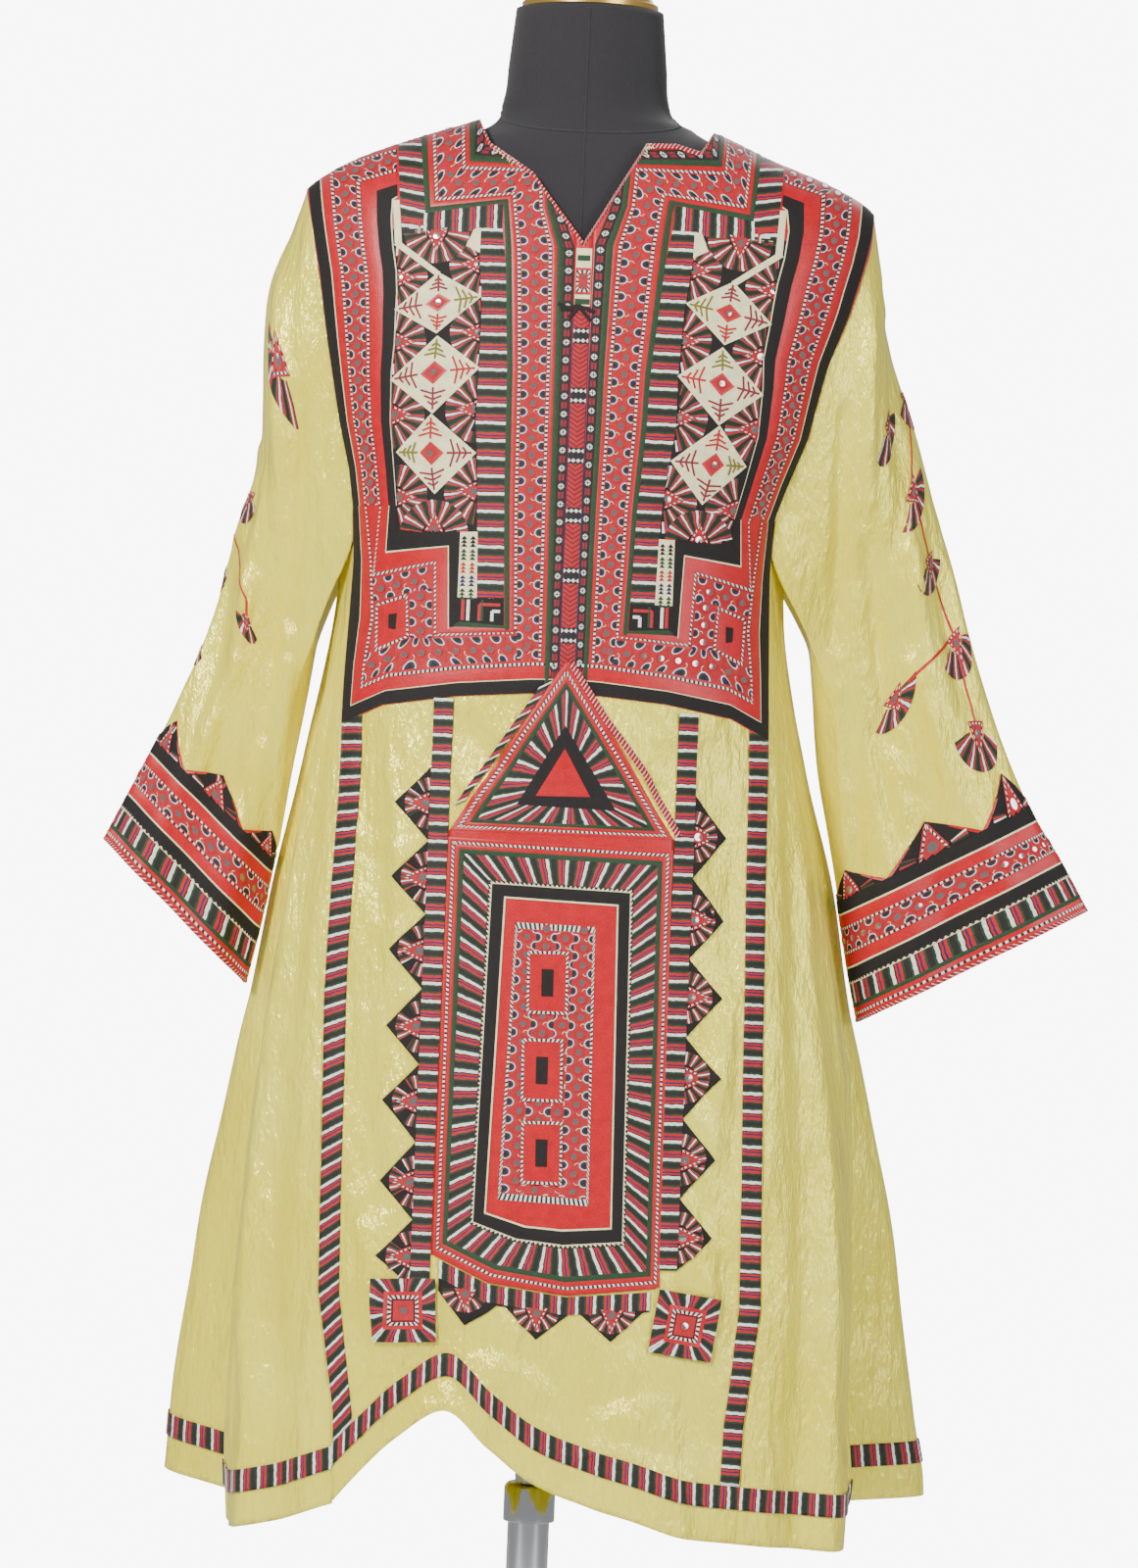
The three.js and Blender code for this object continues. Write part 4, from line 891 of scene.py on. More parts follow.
def whipped(tree, u, v):
    at = (u + v * 0.9).repeat(2.9)
    return over(tree, over(tree, RED, DARK_RED, at.size().above(1.05)), WHITE, at.size().below(0.28))


def saw(tree, u, v):
    tooth = u.repeat(3.2).size() * 1.25 - 1.0
    return over(tree, BLACK, CREAM, (v - tooth).above(0))


KINDS = {
    "red": stitched("red_cloth", plain((0.56, 0.0, 0.007, 1)), 0.4, 0.2, 0.5, 0.2),
    "black": stitched("black_cloth", plain(BLACK), 0.8, 0.2, 0.8, 0.05),
    "rose": stitched("rose_thread", plain(ROSE)),
    "green": stitched("green_thread", plain(GREEN)),
    "cream": stitched("cream_cloth", plain(CREAM), 0.55, 0.25, 0.6),
    "white": stitched("white_thread", plain(WHITE)),
    "maroon": stitched("maroon_thread", plain(MAROON)),
    "olive": stitched("olive_thread", plain(OLIVE)),
    "navy": stitched("navy_thread", plain(NAVY)),
    "stripes": stitched("striped_thread", bars(STRIPE_PITCH, STRIPE_BANDS)),
    "fan": stitched("fan_thread", bars(9.6, FAN_BANDS, 1.2)),
    "dots": stitched("dotted_line", dots),
    "mirrors": stitched("mirror_field", mirror_field),
    "flowers": stitched("flower_row", flowers),
    "chevrons": stitched("chevron_weave", chevrons),
    "whipped": stitched("whipped_edge", whipped, relief=0.9),
    "saw": stitched("saw_edge", saw),
    "glass": plain_material("mirror_glass", linear(168, 160, 158), 0.12, 0.1, 300, Metallic=0.85),
}
KIND_ORDER = list(KINDS)


# The front in its own flat measure: x and z as seen from the front, and where it ends at neck and shoulder
CREST_X = np.arange(-222, 232, 1.0)
CREST_Z = np.array([
    next((z for z in np.arange(1240, 1344, 0.25)
          if (smooth(BODY, 1, z) if x < 0 else smooth(BODY, 2, z)) <= abs(x)), 1344) for x in CREST_X])


def neck_z(x):
    inside = (x > NECK_LEFT) & (x < NECK_RIGHT)
    return np.where(inside, np.interp(x, FRONT_NECK[:, 0], FRONT_NECK[:, 1]), 1400)


def front_place(x, z, lift):
    x, z = np.asarray(x, float), np.asarray(z, float)
    crest = np.interp(x, CREST_X, CREST_Z)
    inside = (z < crest - 0.35) & (z < neck_z(x) - 0.2) & (abs(x) < half_at(x, z) - 0.2)
    return on_front(x, np.minimum(z, crest - 0.3), lift), inside


def inside_polygon(x, z, corners):
    hit = np.zeros(np.shape(x), bool)
    for (x0, z0), (x1, z1) in zip(corners, corners[1:] + corners[:1]):
        if z0 == z1:
            continue
        cross = x0 + (z - z0) * (x1 - x0) / (z1 - z0)
        hit ^= ((z0 > z) != (z1 > z)) & (x < cross)
    return hit


# Length of a stitching face, with shorter ones where the cloth bends more
STITCH_STEP = 2.6
FINE_STEP = 1.8
FINEST_STEP = 1.2
MIRROR_RADIUS = 2.7
# How far a tooth's fan spreads, in radians
HALF_ROUND = 3.14
# Widths the patterned rows are drawn for
ROW_WIDTH = {"dots": 2.3, "saw": 2.4, "flowers": 6.6, "chevrons": 11.6, "mirrors": 15}


def looped(points):
    return list(points) + [points[0]]


# Gathers strips, patches, fans and mirrors into one mesh of stitching on a surface
class Stitching:
    def __init__(self, place):
        self.place, self.clip = place, None
        self.points, self.faces, self.uvs, self.kinds, self.count = [], [], [], [], 0

    def lay(self, a, b, lift, uv, kind):
        p, inside = self.place(a, b, lift)
        if self.clip is not None:
            inside = inside & inside_polygon(a, b, self.clip)
        rows, columns = a.shape
        start = self.count
        self.points.append(p.reshape(-1, 3))
        self.uvs.append(uv.reshape(-1, 2))
        self.count += rows * columns
        i, j = np.meshgrid(np.arange(rows - 1), np.arange(columns - 1), indexing="ij")
        corners = [i * columns + j, i * columns + j + 1, (i + 1) * columns + j + 1, (i + 1) * columns + j]
        kept = np.all([inside.ravel()[c.ravel()] for c in corners], axis=0)
        faces = np.stack([c.ravel()[kept] for c in corners], -1)
        if len(faces) == 0:
            return
        q = p.reshape(-1, 3)[faces]
        turn = np.cross(q[:, 2] - q[:, 0], q[:, 3] - q[:, 1])
        big = np.linalg.norm(turn, axis=1) > 1e-3
        faces, turn, q = faces[big], turn[big], q[big]
        if len(faces) == 0:
            return
        away = self.outward(q.mean(1))
        if float(np.sum(turn * away)) < 0:
            faces = faces[:, ::-1]
        self.faces += (faces + start).tolist()
        self.kinds += [KIND_ORDER.index(kind)] * len(faces)

    def outward(self, p):
        return body_normal(p)

    # From line a to line b, matched point by point, between two shares of the way
    def strip(self, a, b, kind, low=0.0, high=1.0, lift=1.2, crown=0.0, across=None, begin=0.0,
              step=STITCH_STEP):
        a, b = np.asarray(a, float), np.asarray(b, float)
        one, two = a + (b - a) * low, a + (b - a) * high
        marks = [(0, 0.0)]
        for i in range(len(a) - 1):
            run = max(np.hypot(*(one[i + 1] - one[i])), np.hypot(*(two[i + 1] - two[i])))
            n = max(1, int(math.ceil(run / step)))
            marks += [(i, (k + 1) / n) for k in range(n)]
        edge = [np.array([line[i] + (line[i + 1] - line[i]) * t for i, t in marks]) for line in (one, two)]
        wide = np.hypot(*(edge[1] - edge[0]).T)
        n = max(1, int(math.ceil(np.median(wide) / (step * 1.3))))
        if crown:
            n = max(n, 4)
        t = np.linspace(0, 1, n + 1)[None, :]
        flat = edge[0][:, None, :] + (edge[1] - edge[0])[:, None, :] * t[..., None]
        middle = (edge[0] + edge[1]) / 2
        u = np.concatenate([[0], np.cumsum(np.hypot(*np.diff(middle, axis=0).T))]) + begin
        v = (t - 0.5) * (across or ROW_WIDTH.get(kind) or float(np.median(wide)))
        uv = np.stack([u[:, None] + 0 * t, 0 * u[:, None] + v], -1)
        height = lift + crown * (1 - (2 * t - 1) ** 2) + 0 * u[:, None]
        self.lay(flat[..., 0], flat[..., 1], height, uv, kind)
        if kind == "mirrors":
            first = (math.ceil(u[0] / MIRROR_PITCH - 0.5) + 0.5) * MIRROR_PITCH
            for at in np.arange(first, u[-1] - 2, MIRROR_PITCH):
                x, z = np.interp(at, u, middle[:, 0]), np.interp(at, u, middle[:, 1])
                self.mirror(x, z, MIRROR_RADIUS, lift + 0.25)

    # Rows between the same two lines: kind, from, to, lift and, where it has one, a crown of its own
    def rows(self, a, b, rows, crown=0.0, step=STITCH_STEP):
        for kind, low, high, lift, *own in rows:
            self.strip(a, b, kind, low, high, lift, own[0] if own else crown, step=step)

    # A small round mirror with a raised rim
    def mirror(self, x, z, radius, lift):
        sides = 12
        angle = np.arange(sides + 1) / sides * 2 * np.pi
        for inner, outer, kind, rise in ((0.0, 0.8, "glass", (0.25, 0.12)),
                                         (0.78, 1.12, "rose", (0.2, 0.35))):
            r = np.array([[inner], [outer]]) * radius
            a, b = x + r * np.cos(angle), z + r * np.sin(angle)
            uv = np.stack([(angle * radius)[None, :] + 0 * r, 0 * angle + r], -1)
            self.lay(a, b, lift + np.array(rise)[:, None] + 0 * a, uv, kind)

    # A four-cornered patch, with corners in order
    def patch(self, corners, kind, lift=1.2, n=None):
        c = np.asarray(corners, float)
        if len(c) == 3:
            c = np.vstack([c, c[2:] + 1e-3])
        size = max(np.hypot(*(c[1] - c[0])), np.hypot(*(c[3] - c[0])))
        n = n or max(2, int(size / (STITCH_STEP * 1.2)))
        s, t = np.linspace(0, 1, n + 1)[:, None], np.linspace(0, 1, n + 1)[None, :]
        flat = ((1 - s) * (1 - t))[..., None] * c[0] + (s * (1 - t))[..., None] * c[1]
        flat = flat + (s * t)[..., None] * c[2] + ((1 - s) * t)[..., None] * c[3]
        self.lay(flat[..., 0], flat[..., 1], lift + 0 * flat[..., 0], flat, kind)

    # A closed band inside a polygon, from one share to another of the way to its middle
    def ring(self, corners, inner, kind, low, high, lift, crown=0.0, across=None):
        self.strip(looped(corners), looped(inner), kind, low, high, lift, crown, across)

    # Rays of thread from a point, between two radii
    def fan(self, x, z, aim, spread, inner, outer, lift, kind="fan", begin=0.0):
        n = max(6, int(spread * outer / STITCH_STEP))
        angle = aim + spread * (np.arange(n + 1) / n - 0.5)
        r = np.array([inner, (inner + outer) / 2, outer])[:, None]
        a, b = x + r * np.cos(angle), z + r * np.sin(angle)
        u = angle[None, :] * (inner + outer) * 0.62 + begin
        uv = np.stack([u + 0 * r, 0 * u + r - inner], -1)
        self.lay(a, b, lift + 0 * a, uv, kind)

    # A red triangle with a dotted edge and a mirror
    def triangle(self, x, z, aim, size, lift):
        def corner(turn, reach):
            return x + reach * math.cos(aim + turn), z + reach * math.sin(aim + turn)

        rim = [corner(0, size), corner(2.2, size * 0.86), corner(-2.2, size * 0.86)]
        core = [corner(0, size * 0.3), corner(2.2, size * 0.26), corner(-2.2, size * 0.26)]
        self.patch(rim, "rose", lift)
        self.ring(rim, core, "dots", 0.16, 0.44, lift + 0.15, across=2.2)
        self.mirror(x, z, size * 0.24, lift + 0.1)

    # A tooth or fan motif: rays round a triangle that points along aim
    def motif(self, x, z, aim, outer, lift, spread=math.pi, begin=0.0):
        self.fan(x, z, aim, spread, outer * 0.35, outer, lift, begin=begin)
        self.triangle(x + 0.14 * outer * math.cos(aim), z + 0.14 * outer * math.sin(aim), aim, outer * 0.55,
                      lift + 0.15)

    # A fan cut to the three corners of a tooth
    def tooth(self, corners, x, z, aim, outer, lift, begin):
        self.clip = corners
        self.motif(x, z, aim, outer, lift, HALF_ROUND, begin)
        self.clip = None

    # A short stitched line
    def dash(self, x0, z0, x1, z1, width, kind, lift):
        away = np.array([-(z1 - z0), x1 - x0], float)
        away *= width / 2 / max(np.hypot(*away), 1e-6)
        p, q = np.array([x0, z0]), np.array([x1, z1])
        self.strip([p - away, q - away], [p + away, q + away], kind, lift=lift, crown=0.12)

    # Stitched lines from point to point
    def path(self, points, width, kind, lift):
        for p, q in zip(points, points[1:]):
            self.dash(*p, *q, width, kind, lift)

    # A small tree of stitches from a foot towards a tip
    def tree(self, x0, z0, x1, z1, kind, lift, spread=0.5):
        self.dash(x0, z0, x1, z1, 1.5, kind, lift)
        for share in (0.3, 0.55, 0.8):
            x, z = x0 + (x1 - x0) * share, z0 + (z1 - z0) * share
            for turn in (1, -1):
                wide = spread * (1.15 - share) * 1.3
                ex = x + (x0 - x1) * 0.16 - turn * (z1 - z0) * wide
                ez = z + (z0 - z1) * 0.16 + turn * (x1 - x0) * wide
                self.dash(x, z, ex, ez, 1.4, kind, lift + 0.05)

    def build(self, name, slot):
        obj = finish_mesh(name, np.vstack(self.points), self.faces, np.vstack(self.uvs), self.kinds)
        for kind in KIND_ORDER:
            obj.data.materials.append(KINDS[kind])
        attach(obj, "dressed_form")
        return obj


# Places on the left half of the bib, as x and z on the cloth. Each line is matched point by point
# with its partner.
OUTER_RIM = [
    (-134.3, 1312), (-199.3, 1295), (-190.8, 1246), (-186.8, 1227), (-183, 1208), (-180.6, 1192),
    (-178.9, 1181), (-175, 1157), (-170.8, 1136), (-164.6, 1103), (-156.7, 1070.6), (-152.7, 1043.7),
]
OUTER_INSIDE = [
    (-130, 1261), (-132.7, 1259), (-133.1, 1245), (-131.1, 1226), (-127.8, 1208), (-126.7, 1192),
    (-126.9, 1181), (-126.9, 1157), (-128.3, 1136), (-127.6, 1102), (-123.9, 1070.3), (-120.8, 1043.5),
]
LOW_RIM = [
    (-152.7, 1043.7), (-150.6, 1005), (-152, 964.7), (-153.4, 931), (-153.6, 889), (-124.8, 903),
    (-73.8, 911), (-21.7, 915), (-3.4, 915.6),
]
LOW_INSIDE = [
    (-142.7, 1043.5), (-137.3, 1005), (-134.1, 964.8), (-138.6, 931), (-139.6, 916.7), (-121.8, 925),
    (-74.7, 931.7), (-22.6, 936.6), (-3.5, 936.9),
]
CORNER_INSIDE = [(-120.8, 1043.5), (-120.1, 1025), (-75.5, 1026), (-72.8, 962)]
CORNER_RIM = [(-133.1, 1043.5), (-136.4, 993), (-93.1, 1003), (-90.9, 952)]
NECK_RING = [
    (-119.5, 1340), (-109.8, 1249.7), (-55.5, 1258.4), (-54.5, 1252.6), (-52.4, 1226.7), (-49.9, 1184),
    (-47.7, 1141.7), (-46.9, 1104), (-45.7, 1046), (-44, 1006.7), (-41.8, 958),
]
NECK_SIDE = [
    (-72.2, 1350), (-70.3, 1301.3), (-16.9, 1296), (-14.6, 1257), (-4, 1228.5), (-3.6, 1185.7),
    (-3.5, 1143.4), (-3.4, 1106), (-3.3, 1047.8), (-3.3, 1008.4), (-3.2, 958),
]
INNER_COLUMN = [
    (-72.2, 1240), (-69.3, 1212), (-67, 1183), (-67.3, 1141), (-67.9, 1104), (-65.4, 1072),
    (-64.5, 1046), (-61.7, 980),
]
INNER_COLUMN_END = [
    (-55, 1240), (-51.3, 1212), (-49.9, 1183), (-47.7, 1141), (-46.9, 1104), (-46.4, 1072),
    (-45.7, 1046), (-43.3, 980),
]
FIELD = [
    (-134, 1236), (-72, 1242), (-69, 1212), (-66.5, 1183), (-67.5, 1104), (-64, 1072), (-64, 1026),
    (-120, 1024), (-121, 1043), (-124, 1070), (-128, 1102), (-128.5, 1136), (-127.3, 1157),
    (-127.3, 1181), (-128, 1208), (-131, 1226),
]
# Diamonds: middle, top, right, bottom, left
DIAMONDS = [
    ((-97.4, 1186.2), (-98.3, 1207.5), (-67.3, 1191.2), (-97.9, 1164.3), (-128.3, 1180.7)),
    ((-98.9, 1137.5), (-97.1, 1162.9), (-66.6, 1141.1), (-98.4, 1108.1), (-129.1, 1131.5)),
    ((-98.9, 1080.7), (-99.3, 1108.2), (-66.5, 1081.5), (-94.4, 1051.9), (-122.9, 1081)),
]
# Fans of the field: x, z, aim, radius
FIELD_FANS = [
    (-129, 1203.4, 0, 23), (-128, 1158.2, 0, 23), (-128, 1107, 0, 24), (-122.5, 1049.5, 0, 23),
    (-68, 1213.9, math.pi, 23), (-65.6, 1165.7, math.pi, 23), (-65.6, 1112, math.pi, 24),
    (-64, 1054.6, math.pi, 24), (-100.9, 1237, -math.pi / 2, 23), (-94, 1024, math.pi / 2, 24),
]


# The same place on the other half: the same share of the way to the seam
def on_half(side, points):
    if side < 0:
        return [tuple(p) for p in points]
    made = []
    for x, z in points:
        share = (CENTRE_X - x) / (CENTRE_X - float(straight(FRONT_EDGE, 1, z)))
        across = CENTRE_X + share * (float(straight(FRONT_EDGE, 2, z)) - CENTRE_X)
        across += 11 * float(hump(share - 0.38, 0.5)) * float(ease(z, 1245, 1300))
        made.append((across, z + 4 * float(ease(z, 1150, 1270))))
    return made


# Stitching of one half of the bib, from its outer rim inwards
def lay_bib(side):
    def half(points):
        return on_half(side, points)

    work = Stitching(front_place)
    rim, inside = half(OUTER_RIM), half(OUTER_INSIDE)
    work.strip(rim[:2], inside[:2], "red", 0, 0.28, 1.15, step=FINEST_STEP)
    work.strip(rim[1:], inside[1:], "black", 0, 0.15, 1.25, 0.1, step=FINE_STEP)
    work.rows(rim, inside, (
        ("red", 0.155, 0.275, 1.15, 0.25), ("dots", 0.275, 0.315, 1.3), ("mirrors", 0.32, 0.57, 1.15),
        ("dots", 0.585, 0.63, 1.3), ("red", 0.635, 0.815, 1.15, 0.3), ("black", 0.815, 0.985, 1.25, 0.2),
        ("cream", 0.985, 1.0, 1.35, 0.05), ("cream", 0.15, 0.165, 1.3, 0.05)), 0.1, FINE_STEP)
    work.rows(half(LOW_RIM), half(LOW_INSIDE), (
        ("black", 0, 0.44, 1.28), ("cream", 0.43, 0.46, 1.36), ("red", 0.46, 0.87, 1.2),
        ("dots", 0.88, 1.0, 1.3)), 0.12)
    work.patch(half([(-137, 1000), (-92, 1003), (-91, 950), (-139, 917)]), "rose", 1.1)
    work.rows(half(CORNER_RIM), half(CORNER_INSIDE), (
        ("dots", 0, 0.09, 1.3), ("red", 0.09, 0.54, 1.22), ("cream", 0.53, 0.57, 1.36),
        ("black", 0.56, 1.0, 1.28)), 0.1)
    # The mirrors round the corner square and along the bottom
    for upper, lower in (([(-137, 991), (-94, 1001.5)], [(-134.5, 976), (-92.5, 986)]),
                         ([(-109.5, 986), (-107.5, 949)], [(-94, 986), (-92.3, 949)]),
                         ([(-139, 938), (-108, 950.5), (-91.5, 950.5), (-33, 954.5), (-20, 955)],
                          [(-140, 919), (-121.8, 926.5), (-74.7, 933), (-30, 937.5), (-20, 938)])):
        work.strip(half(upper), half(lower), "mirrors", lift=1.18)
    square = half([(-133.7, 974), (-110.2, 982.3), (-108.1, 950.7), (-132.5, 938.8)])
    core = half([(-123.6, 966.8), (-117.6, 967.6), (-118.2, 956), (-123.2, 956.9)])
    work.patch(square, "red", 1.3)
    work.ring(square, core, "dots", 0.04, 0.24, 1.45)
    work.patch(core, "black", 1.45)
    # Green, red, dots and mirrors round the neck and down beside the placket
    rim, inside = half(NECK_RING), half(NECK_SIDE)
    work.rows(rim, inside, (
        ("green", 0, 0.085, 1.3, 0.25), ("red", 0.09, 0.165, 1.2, 0.2),
        ("dots", 0.17, 0.225, 1.3)), 0.1, FINE_STEP)
    rim, inside = rim[:-1] + half([(-41.4, 938)]), inside[:-1] + half([(-3.2, 938)])
    work.rows(rim, inside, (("mirrors", 0.235, 0.615, 1.2), ("dots", 0.625, 0.68, 1.32)), 0.1, FINE_STEP)
    rim, inside = rim[:-1] + half([(-41, 916)]), inside[:-1] + half([(-3.2, 916)])
    work.strip(rim[:-1], inside[:-1], "red", 0.685, 0.75, 1.2, 0.2, step=FINE_STEP)
    work.rows(rim, inside, (("green", 0.75, 0.84, 1.32, 0.3), ("flowers", 0.845, 1.0, 1.25)), 0.15, FINE_STEP)
    work.rows(half([(-73.5, 963), (-40.2, 961)]), half([(-90.9, 952), (-33, 956)]), (
        ("green", 0, 0.34, 1.3), ("red", 0.34, 0.76, 1.3), ("dots", 0.8, 1.0, 1.3)), 0.1)
    # Striped columns and the row of bars that joins them
    work.strip(half([(-135.4, 1340), (-127.5, 1254), (-125.5, 1234)]),
               half([(-119.5, 1340), (-109.8, 1250), (-109, 1234)]), "stripes", lift=1.2, crown=0.15,
               step=FINE_STEP)
    work.strip(half([(-110.5, 1250), (-55.5, 1258)]), half([(-110.5, 1233.5), (-55.4, 1240)]), "stripes",
               lift=1.22, crown=0.15)
    work.strip(half(INNER_COLUMN), half(INNER_COLUMN_END), "stripes", lift=1.24, crown=0.2)
    # The field: rays round triangles, then the diamonds
    work.patch(half([(-134, 1238), (-66, 1242), (-62, 1026), (-122, 1024)]), "black", 1.06, 24)
    work.clip = half(FIELD)
    for k, (x, z, aim, radius) in enumerate(FIELD_FANS):
        (x, z), = half([(x, z)])
        work.motif(x, z, aim if side < 0 else math.pi - aim, radius, 1.2 + 0.02 * k, begin=1.7 * k)
    work.clip = None
    for corners, lift in (([(-133, 1259), (-128.5, 1259), (-125, 1226), (-130, 1226)], 1.26),
                          ([(-131, 1227), (-125, 1228), (-97, 1207.5), (-99, 1204)], 1.6),
                          ([(-75, 1239), (-70, 1240), (-70, 1222), (-80, 1227)], 1.6)):
        work.patch(half(corners), "cream", lift)
    tints = ("maroon", "olive", "rose", "maroon")
    for k, diamond in enumerate(DIAMONDS):
        middle, *corners = [np.array(c) for c in half(diamond)]
        work.patch(corners, "cream", 1.62)
        third = [middle + (c - middle) * 0.3 for c in corners]
        work.patch(third, "rose", 1.76)
        work.ring(third, [middle] * 4, "red", 0, 0.25, 1.86)
        work.mirror(*middle, 2.6, 1.9)
        for j, c in enumerate(corners):
            foot, tip = middle + (c - middle) * 0.36, middle + (c - middle) * 0.9
            work.tree(*foot, *tip, tints[(j + k) % 4], 1.78)
    # A cream panel of small trees and the striped block under the column
    work.patch(half([(-75.5, 1026), (-63.4, 1026.4), (-62, 980), (-75.5, 980)]), "cream", 1.4)
    for row, kind in enumerate(("black", "green", "rose", "navy", "green")):
        for column in (0.25, 0.75):
            for step in range(3):
                x, z = -75.5 + 12.4 * column, 1023.5 - row * 9.2 - step * 2.6
                work.patch(half([(x - 2.3, z - 2.8), (x, z), (x + 2.3, z - 2.8)]), kind, 1.55, 1)
    work.patch(half([(-77, 980), (-43.3, 980.4), (-42.5, 961.4), (-76.5, 960.2)]), "black", 1.3)
    for x, kind, width in ((-71.5, "rose", 2.4), (-67.8, "white", 2.2), (-58, "green", 2.0)):
        work.path(half([(x, 978.5), (x, 964)]), width, kind, 1.45)
    for inset, kind in ((0, "rose"), (4.5, "white")):
        x, z = -60 + inset * 2, 975.5 - inset
        work.path(half([(-45.5, z), (x, z), (x, 964)]), 2.2, kind, 1.45)
    # The corner of the bars at the shoulder
    for inset, kind in ((0, "rose"), (4.5, "white")):
        z = 1244 - inset
        work.path(half([(-125 + inset, z), (-113.5, z), (-113.5, 1235)]), 2.2, kind, 1.5)
    return work


FRONT_STOPS = column_stops(FRONT_COLUMNS, FRONT_STEP)


# An embroidered piece or tape sewn on the dress
def sewn(name, grid, kind, node_name, closed=False, thickness=SEWN_CLOTH):
    return cloth_piece(name, grid, (0, -1, 0), KINDS[kind], node_name, closed, thickness)


# The embroidered cloth under the stitching, on the panel's own points
def bib_cloth(name, low, high, node_name):
    kept = (FRONT_STOPS > low - 1e-6) & (FRONT_STOPS < high + 1e-6)
    bare = bare_front[BIB_ROW:, kept]
    x, z = bare[..., 0], bare[..., 2]
    line = np.array(on_half(-1, LOW_RIM[4:]) + on_half(1, LOW_RIM[4:])[::-1])
    low_edge = np.interp(x, line[:, 0], line[:, 1]) - 0.3
    z = np.where(z < 940, low_edge + (z - BIB_BOTTOM) * (940 - low_edge) / (940 - BIB_BOTTOM), z)
    grid = bare + front_out[BIB_ROW:, kept] * (front_relief(x, z) + 1.0)[..., None]
    grid = np.where((bare[..., 2] < 945)[..., None], on_front(x, z, 1.0), grid)
    return sewn(name, grid, "red", node_name), grid


for side, name, low, high in ((-1, "left", 0, 13), (1, "right", 15, 28)):
    cloth, grid = bib_cloth("bib_cloth_" + name, low, high, "bib_" + name)
    stitches = lay_bib(side).build("bib_stitching_" + name, "embroidery")
    cut(grid)


# Pieces sewn to the front: a cloth under each, with its own stitching
def front_cloth(name, flat, lift, kind, node_name):
    grid = on_front(flat[..., 0], flat[..., 1], lift)
    return sewn(name, grid, kind, node_name), grid


def box(x0, x1, top, low):
    return [(x0, top), (x1, top), (x1, low), (x0, low)]


def between(low, high, rows, columns):
    low, high = np.asarray(low, float), np.asarray(high, float)
    t = np.linspace(0, 1, columns)[None, :, None]
    run = np.linspace(0, len(low) - 1, rows)
    a, b = [np.stack([np.interp(run, np.arange(len(line)), line[:, k]) for k in range(2)], -1)[:, None]
            for line in (low, high)]
    return a + (b - a) * t


# Placket: woven strip, a patch at its top, and the thread tie
placket, placket_grid = bib_cloth("placket_cloth", 13, 15, "placket")
work = Stitching(front_place)
work.strip([(-2.9, 1187), (-2.9, 917)], [(8.7, 1187), (8.7, 917)], "chevrons", lift=1.25, crown=0.3, step=1.5)
work.patch(box(-2.6, 8.4, 1228, 1187), "cream", 1.25)
work.patch(box(-1.6, 7.4, 1223, 1219), "green", 1.4)
work.patch(box(-2.4, 8.2, 1214, 1195), "rose", 1.4)
work.ring(box(-2.2, 8, 1213, 1196), [(2.9, 1204.5)] * 4, "dots", 0.05, 0.4, 1.5)
work.patch(box(-2.4, 8.2, 1192, 1188), "green", 1.4)
work.mirror(2.9, 1208, 1.6, 1.5)
work.mirror(2.9, 1200, 1.6, 1.5)
for line in (FRONT_NECK[4:7], FRONT_NECK[6:8], FRONT_NECK[7:], FRONT_NECK[:5]):
    work.strip(line - (0, 0.3), line - (0, 4.0), "whipped", lift=1.5, crown=0.7, across=2.6, step=FINEST_STEP)
for ends in (((-12, 1184), (0, 1187)), ((0, 1187), (12, 1183)), ((-6, 1178), (1, 1186)),
             ((1, 1186), (9, 1177)), ((-14, 1188), (-4, 1184))):
    work.path(ends, 2.6, "black", 2.0)
# Frayed ends at the corners of the neck
for k in range(22):
    side = -1 if k < 13 else 1
    along = (k % 13) / 12
    x0 = -62 + 16 * along if side < 0 else 42 + 8 * along
    z0 = float(neck_z(np.array(x0))) - 1.0
    work.dash(x0, z0, x0 + 2.6 * math.sin(k * 2.3), z0 - 2.5 - 2 * abs(math.sin(k * 1.7)), 0.7, "cream", 2.0)
placket_stitches = work.build("placket_stitching", "embroidery")
cut(placket_grid)


def pocket_rise(z):
    return 2.5 * ease(z, 855, 895)


def pocket_place(x, z, lift):
    return on_front(x, z, lift + pocket_rise(z)), np.ones(np.shape(x), bool)


POCKET_RIM = [(-75, 812), (81.5, 809), (84.5, 505), (20, 498), (-35, 506), (-74, 524)]
POCKET_CORE = [(-32.5, 770.5), (43.6, 768), (48, 546), (15, 543.5), (-10, 545), (-37.6, 553)]
left = [(-75, 524), (-75, 560), (-75, 816), (2, 938)]
right = [(82, 505), (82, 560), (82, 816), (4, 938)]
flat = np.concatenate([between(left[:3], right[:3], 60, 48), between(left[2:], right[2:], 44, 48)[1:]])
low_edge = np.interp(flat[..., 0], [-75, -35, 20, 82], [522, 504, 497, 504])
flat[..., 1] = np.where(flat[..., 1] < 600, low_edge + (flat[..., 1] - flat[:1, :, 1]) * (600 - low_edge)
                        / (600 - flat[:1, :, 1]), flat[..., 1])
pocket_grid = on_front(flat[..., 0], flat[..., 1], 1.15 + pocket_rise(flat[..., 1]))
pocket = sewn("pocket_cloth", pocket_grid, "red", "pocket", thickness=0.7)
work = Stitching(pocket_place)
work.rows(looped(POCKET_RIM), looped(POCKET_CORE), (
    ("red", 0.0, 0.06, 1.35), ("dots", 0.06, 0.115, 1.5), ("red", 0.12, 0.185, 1.38),
    ("green", 0.185, 0.27, 1.5), ("stripes", 0.27, 0.69, 1.4), ("saw", 0.69, 0.75, 1.55),
    ("black", 0.75, 0.96, 1.42), ("cream", 0.955, 0.985, 1.55)), 0.2)
work.patch([POCKET_CORE[k] for k in (0, 1, 2, 5)], "red", 1.38)
